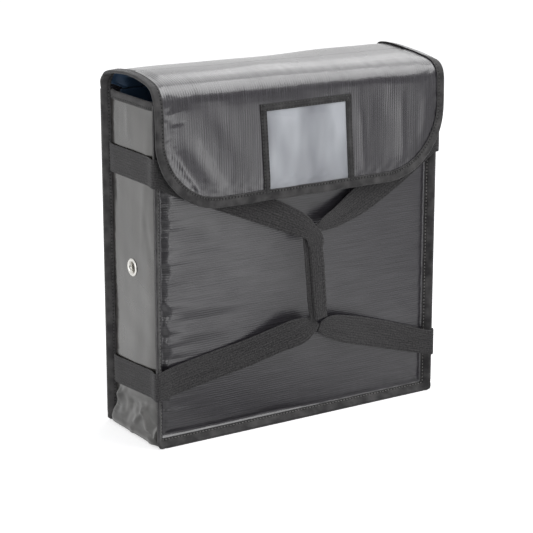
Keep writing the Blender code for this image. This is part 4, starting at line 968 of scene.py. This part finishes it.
def closure_strip(name, face_of, low, high, cloth, body, node):
    """A pile strip as a cushion on a face: full in the middle, with a flat sewn border."""
    half, border = 0.115, 0.0013
    x = places_between(-half, half, 0.0006, 0.0024, 0.012)[None, :]
    z = places_between(low, high, 0.0005, 0.0010, 0.006)[:, None]
    near = np.minimum(half - np.abs(x), np.minimum(z - low, high - z))
    lift = 0.0009 + 0.0011 * smooth((near - 0.0020) / 0.0012) + 0.00012 * rumple(x, z, 0.004, 151)
    points, _ = face_of(x + 0 * z, z + 0 * x, lift)
    strip = lay(name, points, (x, z), 0.0008, inwards=body == "flap_front")
    dress(strip, cloth, "closure_pile", body, node)
    side, foot, head = half - border, low + border, high - border
    sewn_x = np.concatenate((np.linspace(-side, side, 120), np.full(20, side), np.linspace(side, -side, 120),
                             np.full(20, -side)))
    sewn_z = np.concatenate((np.full(120, foot), np.linspace(foot, head, 20), np.full(120, head),
                             np.linspace(head, foot, 20)))
    sewn, lifted = face_of(sewn_x, sewn_z, 0 * sewn_x + 0.0010)
    sew(name + "_stitches", sewn + 1e-7 * np.arange(len(sewn))[:, None], lifted, body, dark_thread)


def on_front(x, z, lift):
    """A point a lift above the front panel's cloth, and its normal."""
    face = panel_height(x, z, FRONT_SEED, 1.0, FRONT_SWELL)
    return np.stack((x, -HALF_DEPTH - face - lift, z), -1), np.broadcast_to((0.0, -1.0, 0.0), x.shape + (3,))


def under_flap(x, z, lift):
    """A point a lift inside the flap's lining, and its inward normal."""
    at = flap_at(z)
    square = flap_normal(x, at)
    depth = WALL + lining_wave(x, at) + lift
    return flap_point(x, at) - square * depth[..., None], -square


loop_cloth = closure_cloth("loop_pile", 1100.0, 0.0004, (0.030, 0.030, 0.031))
hook_cloth = closure_cloth("hook_pile", 700.0, 0.0006, (0.022, 0.022, 0.023))
closure_strip("loop_strip_pile", on_front, 0.4000, 0.4250, loop_cloth, "bag", "loop_strip")
closure_strip("hook_strip_pile", under_flap, 0.4005, 0.4255, hook_cloth, "flap_front", "hook_strip")


# Straps: two bands of 38 mm webbing round the bag.  Each is caught under the tapes of the back
# seams and passes over the front flanges, where it leaves the panel on both sides as an arm, and
# the arms meet in the grip.  Keys give the lower and the upper edge of a strap's outer face, in
# millimetres, clockwise from above.
WEBBING = 0.0018
WIDE = 38.0
GRIP_X = 0.0148


def round_a_side(side, front, back, ear=0.0):
    """Keys of a band from the front flange to the back seam of one side, from the heights of its
    middle at both: over the front flange, where it may stand out as an ear, across the gusset,
    and in under the back seam's tape."""
    keys = []
    for outward, depth in ((8.6, -71.6), (10.6, -70.6), (11.7, -67.6), (11.3, -63.6), (9.4, -57.6),
                           (7.6, -50.5), (6.9, -40), (6.8, 0), (6.7, 36), (6.2, 46), (4.6, 54), (2.2, 59.5),
                           (1.0, 62.0)):
        middle = front + (back - front) * min(max((depth + 60) / 120, 0.0), 1.0)
        x = side * (216 + outward + ear * np.exp(-((depth + 68) / 5) ** 2))
        keys.append((x, depth, middle - WIDE / 2, x, depth, middle + WIDE / 2))
    return keys


UPPER_LEFT = ((0.5, -87.6, 249.5, 24.7, -87.6, 248.3), (-1.5, -88.4, 256, 24.1, -88.4, 258.8),
              (-3.5, -88.6, 260, 19.5, -88.6, 268.7), (-6.6, -88, 262.3, 10.4, -88, 278.3),
              (-14, -86, 264.9, -0.6, -86, 292.2), (-38, -77.5, 274.3, -24.6, -77.5, 307.7),
              (-79, -68.8, 291.8, -64.4, -68.8, 326.3), (-142, -65.8, 318, -127.5, -65.8, 352.6),
              (-196.2, -66.8, 340.7, -185.3, -66.8, 377.3), (-213, -70, 349.9, -209, -70, 387.5),
              (-221.5, -71.6, 354, -221, -71.6, 391.9))
UPPER_RIGHT = ((221.5, -71.6, 348.9, 221, -71.6, 386.7), (212, -69.8, 341.5, 206, -69.8, 379.8),
               (196.2, -67, 328.6, 181.9, -67, 366.6), (162.6, -66, 306.8, 142.8, -66, 342.5),
               (110.7, -69, 281.1, 91.6, -69, 317.1), (62.6, -74.6, 268.1, 52.6, -74.6, 294.4),
               (40.4, -77.6, 265.9, 36.3, -77.6, 287), (28.3, -79.2, 265.5, 25, -79.2, 280),
               (19.2, -80, 265.1, 17.2, -80, 275.1))
LOWER_LEFT = ((22.4, -81.6, 135.3, 15.3, -81.6, 144.3), (19.4, -82, 129.8, 4.7, -82, 147.7),
              (-0.7, -81, 113.3, -20.3, -81, 148.5), (-37.6, -75, 103.6, -45.8, -75, 140.7),
              (-79.5, -67.4, 90.9, -86.1, -67.4, 128.9), (-130, -64.6, 81.6, -137.1, -64.6, 120.2),
              (-190.1, -66.2, 72.4, -192.2, -66.2, 111.8), (-212, -69.8, 69.7, -212.5, -69.8, 108.9),
              (-221.5, -71.6, 68.7, -221.5, -71.6, 107.2))
LOWER_RIGHT = ((221.5, -71.6, 54.2, 221.5, -71.6, 90.5), (211, -69.6, 56.9, 209, -69.6, 93.4),
               (167.6, -65.2, 68.4, 173.4, -65.2, 106.1), (116.1, -67.4, 83.8, 126.9, -67.4, 122),
               (69.5, -74.4, 99.1, 81.4, -74.4, 136.1), (39.2, -78.8, 112.2, 50.1, -78.8, 143),
               (27.5, -80.4, 119.8, 35.9, -80.4, 142.2), (21.4, -80.8, 127.3, 26.4, -80.8, 138.2))


# The webbing is a herringbone of ribs along its length, crossed by fine picks, with firm
# selvedges and worn greyer patches.
strap_cloth, tree, shader, uv = shade("webbing", 0.80, Sheen_Weight=0.15, Sheen_Roughness=0.45)
u, v, _ = split(tree, uv)
warp = maths(tree, "MULTIPLY_ADD", noise(tree, uv, 55.0), 0.7, maths(tree, "DIVIDE", v, 0.0033))
warp = maths(tree, "ABSOLUTE", maths(tree, "SINE", maths(tree, "MULTIPLY", warp, np.pi)))
pick = maths(tree, "MULTIPLY_ADD", warp, 0.5, maths(tree, "DIVIDE", u, 0.0012))
pick = maths(tree, "SINE", maths(tree, "MULTIPLY", pick, 2 * np.pi))
height = maths(tree, "MULTIPLY_ADD", noise(tree, uv, 1300.0), 0.6, maths(tree, "MULTIPLY", warp, 0.4))
height = maths(tree, "MULTIPLY_ADD", pick, 0.22, height)
streak = noise(tree, stretch(tree, uv, (14.0, 260.0, 1.0)), 1.0, 3.0)
tone = maths(tree, "MULTIPLY_ADD", streak, 0.26, maths(tree, "MULTIPLY", warp, 0.14))
tone = remap(tree, maths(tree, "MULTIPLY_ADD", noise(tree, uv, 420.0, 3.0), 0.90, tone), 0.50, 0.98)
feed(tree, shader, Base_Color=mix(tree, tone, (0.013, 0.012, 0.013), (0.078, 0.075, 0.076)),
     Normal=bump(tree, height, 1.0, 0.00028))
EDGE_SHARES = np.array((0.0, 0.012, 0.045, 0.10, 0.20, 0.32, 0.44, 0.56, 0.68, 0.80, 0.90, 0.955, 0.988, 1.0))


def webbing_strip(name, keys, first, last, step, seed, body, *nodes):
    """Webbing lofted between two edge curves through keys, from one key to another.  It waves a
    little across its width, and thins at both selvedges."""
    keys = np.array(keys) * 0.001
    fine = np.linspace(first, last, 2001)
    line = through(keys, fine)
    length = run_of((line[:, :3] + line[:, 3:]) / 2)
    at = np.interp(np.linspace(0, length[-1], int(length[-1] / step) + 1), length, fine)
    line = through(keys, at)
    low, top = line[:, :3], line[:, 3:]
    ahead = through(keys, at + 0.02) - through(keys, at - 0.02)
    ahead = (ahead[:, :3] + ahead[:, 3:]) / 2
    square = np.cross(top - low, ahead)
    square /= np.linalg.norm(square, axis=1)[:, None]
    run = np.interp(at, fine, length)[:, None]
    share = EDGE_SHARES[None, :]
    wide = np.linalg.norm(top - low, axis=1)[:, None]
    lift = 0.00025 * rumple(run, share * wide, 0.045, seed) * np.sin(np.pi * share)
    thin = 0.45 * np.exp(-np.minimum(share, 1 - share) * wide / 0.0009)
    spot = low[:, None] + (top - low)[:, None] * share[..., None]
    outer = spot + square[:, None] * (lift - thin * WEBBING / 2)[..., None]
    inner = spot + square[:, None] * (lift - WEBBING + thin * WEBBING / 2)[..., None]
    points = np.concatenate((outer, inner[:, ::-1]), 1)
    v = np.concatenate((EDGE_SHARES, EDGE_SHARES[::-1], [0.0])) * 0.038
    dress(lay(name, points, (run, v[None, :]), ring=True), strap_cloth, "webbing", body, *nodes)


for level, left_keys, right_keys, heights, ear in (
        ("upper", UPPER_LEFT, UPPER_RIGHT, (373.3, 372.8, 369.6, 368.4), 3.2),
        ("lower", LOWER_LEFT, LOWER_RIGHT, (86.9, 79.7, 72.2, 72.4), 1.2)):
    left_front, left_back, right_back, right_front = heights
    left_side = list(left_keys) + round_a_side(-1, left_front, left_back)
    right_side = round_a_side(1, right_front, right_back, ear)[::-1] + list(right_keys)
    left_end = len(left_keys) - 1
    right_start = len(right_side) - len(right_keys)
    name = "strap_" + level
    webbing_strip(name + "_side_left", left_side, left_end, len(left_side) - 1, 0.0022, 161, "bag",
                  "strap_band_" + level)
    webbing_strip(name + "_side_right", right_side, 0, right_start, 0.0022, 162, "bag")
    back_keys = []
    for x, y in ((-216.5, 61.6), (-213, 62.8), (-206, 63.7), (-190, 64.0), (-100, 64.2), (0, 64.2),
                 (100, 64.2), (190, 64.0), (206, 63.7), (213, 62.8), (216.5, 61.6)):
        middle = left_back + (right_back - left_back) * (x + 216) / 432
        back_keys.append((x, y, middle - WIDE / 2, x, y, middle + WIDE / 2))
    webbing_strip(name + "_back", back_keys, 0, 10, 0.0030, 164, "bag")
    for word, keys, first, last, near in (("left", left_side, 0, left_end, -0.200),
                                          ("right", right_side, right_start, len(right_side) - 1, 0.200)):
        # An arm's bend, between the hem, or the bag's side, and the grip, is given as two points.
        bend = ((0.45 * near, -0.069, 0.310), (GRIP_X + 0.06 * near, -0.086, 0.262))
        if level == "lower":
            bend = ((near, -0.066, 0.080), (GRIP_X + 0.12 * near, -0.084, 0.080))
        webbing_strip(name + "_" + word, keys, first, last, 0.0022, 163, ("bag", "handle", *bend),
                      "strap_arm_" + level + "_" + word)


# Grip: the straps' webbing folded lengthwise and sewn into a handle, with a second layer of
# webbing behind it that shows as a dark strip at its left.
def grip_axis(z):
    """x of the leaning grip's middle line at a height."""
    return GRIP_X - 0.0896 * (z - 0.2111)


def grip_layer(name, section, top, foot, seed, *nodes):
    """One layer of the grip: a ring of (across, outward) points carried down the leaning line and
    cut at a slant at its foot."""
    z = np.linspace(top, foot, 70)[:, None]
    outline = np.array(section) * 0.001
    wave = 0.0003 * rumple(z, 0 * z, 0.05, seed)
    squeeze = 1 - 0.10 * np.exp(-((z - foot) / 0.012) ** 2)
    x = grip_axis(z) + outline[None, :, 0] * squeeze + wave
    y = -0.0840 - outline[None, :, 1] + 0.0002 * rumple(z, x, 0.03, seed + 1)
    slanted_z = z + 0.20 * outline[None, :, 0] * (z == foot)
    v = run_of(np.vstack((outline, outline[:1])))[None, :]
    layer = lay(name, points_of(x, y, slanted_z), (top - z, v), ring=True)
    layer.visible_glossy = False
    dress(layer, strap_cloth, "webbing", "handle", *nodes)


grip_layer("grip_front", ((12.6, 2.4), (12.2, 3.2), (10.5, 3.6), (7, 3.7), (2, 3.8), (-3, 3.8), (-6, 3.7),
                          (-8.2, 3.2), (-9.2, 2.2), (-9.4, 1.2), (-8.8, 0.3), (-6, -0.1), (0, -0.2),
                          (6, -0.2), (10.5, 0.0), (12.2, 0.7)), 0.2703, 0.1453, 171, "handle_grip")
grip_layer("grip_back", ((9.5, -0.9), (6, -0.6), (-4, -0.6), (-12, -0.7), (-15.4, -0.9), (-16.2, -1.5),
                         (-15.6, -2.2), (-12, -2.5), (-4, -2.5), (6, -2.5), (9.6, -2.2), (10.2, -1.5)),
           0.2663, 0.1468, 173)
grip_z = np.linspace(0.2643, 0.1498, 90)
for across_grip, word in ((0.0103, "right"), (-0.0066, "left")):
    seam_points = points_of(grip_axis(grip_z) + across_grip, -0.08775, grip_z)
    outward = np.broadcast_to((0.0, -1.0, 0.0), (90, 3))
    sew("grip_stitches_" + word, seam_points, outward, "handle", dark_thread)


# Vents: a two-part brass eyelet, nickel plated, clenched through each side of the gusset over a
# flat washer.  A rolled rim outside, a barrel through the wall, and a clenched curl inside.
def bright_nickel(name, rough):
    """Nickel plate: bright metal with faint turning marks round it, duller inside the barrel."""
    made, tree, shader, uv = shade(name, rough, Metallic=1.0)
    marks = noise(tree, stretch(tree, uv, (40.0, 2600.0, 1.0)), 1.0, 3.0)
    smear = noise(tree, uv, 180.0, 3.0)
    barrel = maths(tree, "ABSOLUTE", maths(tree, "SUBTRACT", split(tree, uv)[1], 0.0345))
    dull = remap(tree, barrel, 0.0030, 0.0040, 1.0, 0.0)
    polish = remap(tree, smear, 0.3, 0.7, rough - 0.06, rough + 0.1)
    feed(tree, shader, Base_Color=mix(tree, smear, (0.76, 0.74, 0.70), (0.90, 0.89, 0.86)),
         Roughness=maths(tree, "MULTIPLY_ADD", dull, 0.35, polish),
         Metallic=maths(tree, "MULTIPLY_ADD", dull, -0.8, 1.0), Normal=bump(tree, marks, 0.25, 0.00008))
    return made


nickel = bright_nickel("nickel", 0.20)
washer_nickel = bright_nickel("nickel_washer", 0.30)
EYELET = ((6.45, -3.6), (6.6, -2.4), (6.9, -1.3), (7.4, -0.2), (8.1, 0.8), (9.0, 1.5), (9.9, 1.8),
          (10.8, 1.7), (11.6, 1.3), (12.15, 0.75), (12.25, 0.4), (11.9, 0.15), (10.9, 0.15), (9.6, 0.0),
          (8.3, -0.4), (7.5, -1.2), (7.1, -2.4), (7.05, -3.6), (7.05, -11.9), (7.6, -12.2), (8.6, -12.0),
          (8.9, -12.4), (8.5, -12.9), (7.4, -13.2), (6.7, -12.9), (6.45, -12.2))
WASHER = ((7.4, -10.7), (10.7, -10.7), (10.95, -10.9), (10.95, -11.5), (10.7, -11.7), (7.4, -11.7))
for side, word in ((-1, "left"), (1, "right")):
    for name, profile, metal, node in (("vent_ring_", EYELET, nickel, "vent_eyelet_"),
                                       ("vent_back_", WASHER, washer_nickel, "vent_washer_")):
        radius, outward = np.array(profile).T[:, None, :] * 0.001
        turn = np.linspace(0, 2 * np.pi, 97)[:-1][:, None]
        points = points_of(side * (HALF_WIDTH + SIDE_SWELL + outward), EYE_Y + radius * np.cos(turn),
                           EYE_Z + radius * np.sin(turn))
        v = run_of(np.array(profile + profile[:1]) * 0.001)[None, :]
        ring = lay(name + word, points, (np.linspace(0, 0.06, 97)[:, None], v), ring=True, loop=True)
        dress(ring, metal, "nickel", "bag", node + word)


# Stage: a pale floor that melts into a white background, soft studio lights and the camera.
floor_white = bpy.data.materials.new("floor_white")
floor_white.use_nodes = True
tree = floor_white.node_tree
tree.nodes.clear()


def dimmed(bearing, edge, wide):
    """How far a place on the floor lies where painted shade dims its mirrored light, 0 to 1: a smooth step in
    the cosine of the angle between it and the part's bearing, in degrees from the front to the right."""
    facing = maths(tree, "MULTIPLY", out_y, -np.cos(np.radians(bearing)))
    facing = maths(tree, "MULTIPLY_ADD", out_x, np.sin(np.radians(bearing)), facing)
    return remap(tree, maths(tree, "DIVIDE", facing, reach), edge, wide, interpolation_type="SMOOTHSTEP")


# The camera sees the floor nearly white with the bag's soft shadow.  A gloss sees instead a painted glow, as
# if the studio lit the floor: painted shade before the camera, at the right and behind, a painted shadow near
# the bag, and a painted pool of light in front.
place = wire(tree, "ShaderNodeTexCoord").outputs["Object"]
out_x, out_y, _ = split(tree, place)
out_y = maths(tree, "ADD", out_y, 0.06)
reach = maths(tree, "SQRT", maths(tree, "MULTIPLY_ADD", out_x, out_x, maths(tree, "MULTIPLY", out_y, out_y)))
# near is a painted shadow of the bag: the mirrored glow is darkened close to it.
near = remap(tree, reach, 0.02, 0.62, 0.20, 1.12)
reach = maths(tree, "MAXIMUM", reach, 0.001)
far = remap(tree, reach, 0.25, 0.80, 0.0, 0.72)
right = maths(tree, "MULTIPLY", dimmed(62.0, 0.80, 0.99), far)
before = maths(tree, "MULTIPLY", dimmed(-32.0, 0.74, 0.96), maths(tree, "MULTIPLY_ADD", far, 0.7, 0.42))
behind = maths(tree, "MULTIPLY", dimmed(-164.0, 0.86, 0.995), 0.30)
painted_pool = maths(tree, "MULTIPLY", dimmed(5.0, 0.968, 0.995), far)
painted_glow = maths(tree, "SUBTRACT", 1.0, maths(tree, "ADD", right, maths(tree, "ADD", before, behind)))
painted_glow = maths(tree, "MULTIPLY", maths(tree, "MULTIPLY_ADD", painted_pool, 1.2, painted_glow), near)
tint = remap(tree, noise(tree, place, 3.0), 0.0, 1.0, 0.84, 0.86)
diffuse = wire(tree, "ShaderNodeBsdfDiffuse", (("Color", tint),)).outputs[0]
seen = wire(tree, "ShaderNodeEmission", (("Strength", 0.60),)).outputs[0]
mirrored = wire(tree, "ShaderNodeEmission", (("Strength", painted_glow),)).outputs[0]
both = wire(tree, "ShaderNodeAddShader", ((0, diffuse), (1, seen))).outputs[0]


def by_ray(tree, plain, camera, glossy, end):
    """Feeds an end node with a plain shader, with one for the camera and one for a gloss."""
    rays = wire(tree, "ShaderNodeLightPath").outputs
    for kind, shader in (("Is Camera Ray", camera), ("Is Glossy Ray", glossy)):
        plain = wire(tree, "ShaderNodeMixShader", ((0, rays[kind]), (1, plain), (2, shader))).outputs[0]
    feed(tree, tree.nodes.new(end), Surface=plain)


by_ray(tree, diffuse, both, mirrored, "ShaderNodeOutputMaterial")
floor_mesh = bpy.data.meshes.new("floor")
floor_mesh.from_pydata([(-12, -12, 0), (12, -12, 0), (12, 12, 0), (-12, 12, 0)], [], [(0, 1, 2, 3)])
floor_mesh.materials.append(floor_white)
add_object("floor", floor_mesh)

world = bpy.data.worlds.new("studio")
bpy.context.scene.world = world
world.use_nodes = True
sky = world.node_tree
sky.nodes.clear()
pale_blue, pure_white = (0.97, 0.98, 1.0, 1.0), (1.0, 1.0, 1.0, 1.0)
ambient = wire(sky, "ShaderNodeBackground", (("Color", pale_blue), ("Strength", 0.50))).outputs[0]
white = wire(sky, "ShaderNodeBackground", (("Color", pure_white), ("Strength", 1.0))).outputs[0]
forward = split(sky, wire(sky, "ShaderNodeTexCoord").outputs["Generated"])[1]
dim_before = remap(sky, forward, -0.60, -0.22, 0.36, 1.0, interpolation_type="SMOOTHSTEP")
mirrored = wire(sky, "ShaderNodeBackground", (("Strength", dim_before),)).outputs[0]
by_ray(sky, ambient, white, mirrored, "ShaderNodeOutputWorld")


def soft_light(name, place, target, size, power):
    """A rectangular soft box at a place, facing a target."""
    lamp = bpy.data.lights.new(name, "AREA")
    lamp.shape = "RECTANGLE"
    lamp.size, lamp.size_y = size
    lamp.energy = power
    made = add_object(name, lamp)
    made.location = place
    away = np.array(place) - np.array(target)
    tilt, bearing = np.arctan2(np.hypot(away[0], away[1]), away[2]), np.arctan2(away[0], -away[1])
    made.rotation_euler = (tilt, 0.0, bearing)


soft_light("light_above", (1.35, 1.00, 1.90), (0.1, 0.1, 0.45), (1.7, 1.8), 8.0)
soft_light("light_over_fold", (1.00, -0.70, 1.90), (0.1, 0.0, 0.45), (1.7, 1.9), 25.0)
soft_light("light_left", (-1.9, -0.35, 0.85), (0.0, 0.0, 0.25), (1.0, 1.3), 5.0)
soft_light("light_front", (-0.9, -2.6, 1.30), (-0.05, 0.0, 0.22), (1.1, 1.1), 8.0)

lens = bpy.data.cameras.new("camera")
lens.sensor_width = 36.0
lens.lens = 135.1
camera = add_object("camera", lens)
yaw, pitch = np.radians((-32.95, 15.73))
level = np.array((np.cos(yaw), np.sin(yaw), 0.0))
behind = np.array((np.sin(yaw) * np.cos(pitch), -np.cos(yaw) * np.cos(pitch), np.sin(pitch)))
matrix = np.eye(4)
matrix[:3] = np.stack((level, np.cross(behind, level), behind, (-1.4495, -2.2205, 0.9483)), 1)
camera.matrix_world = matrix.T.tolist()
bpy.context.scene.camera = camera

bpy.context.scene.view_settings.view_transform = "Standard"
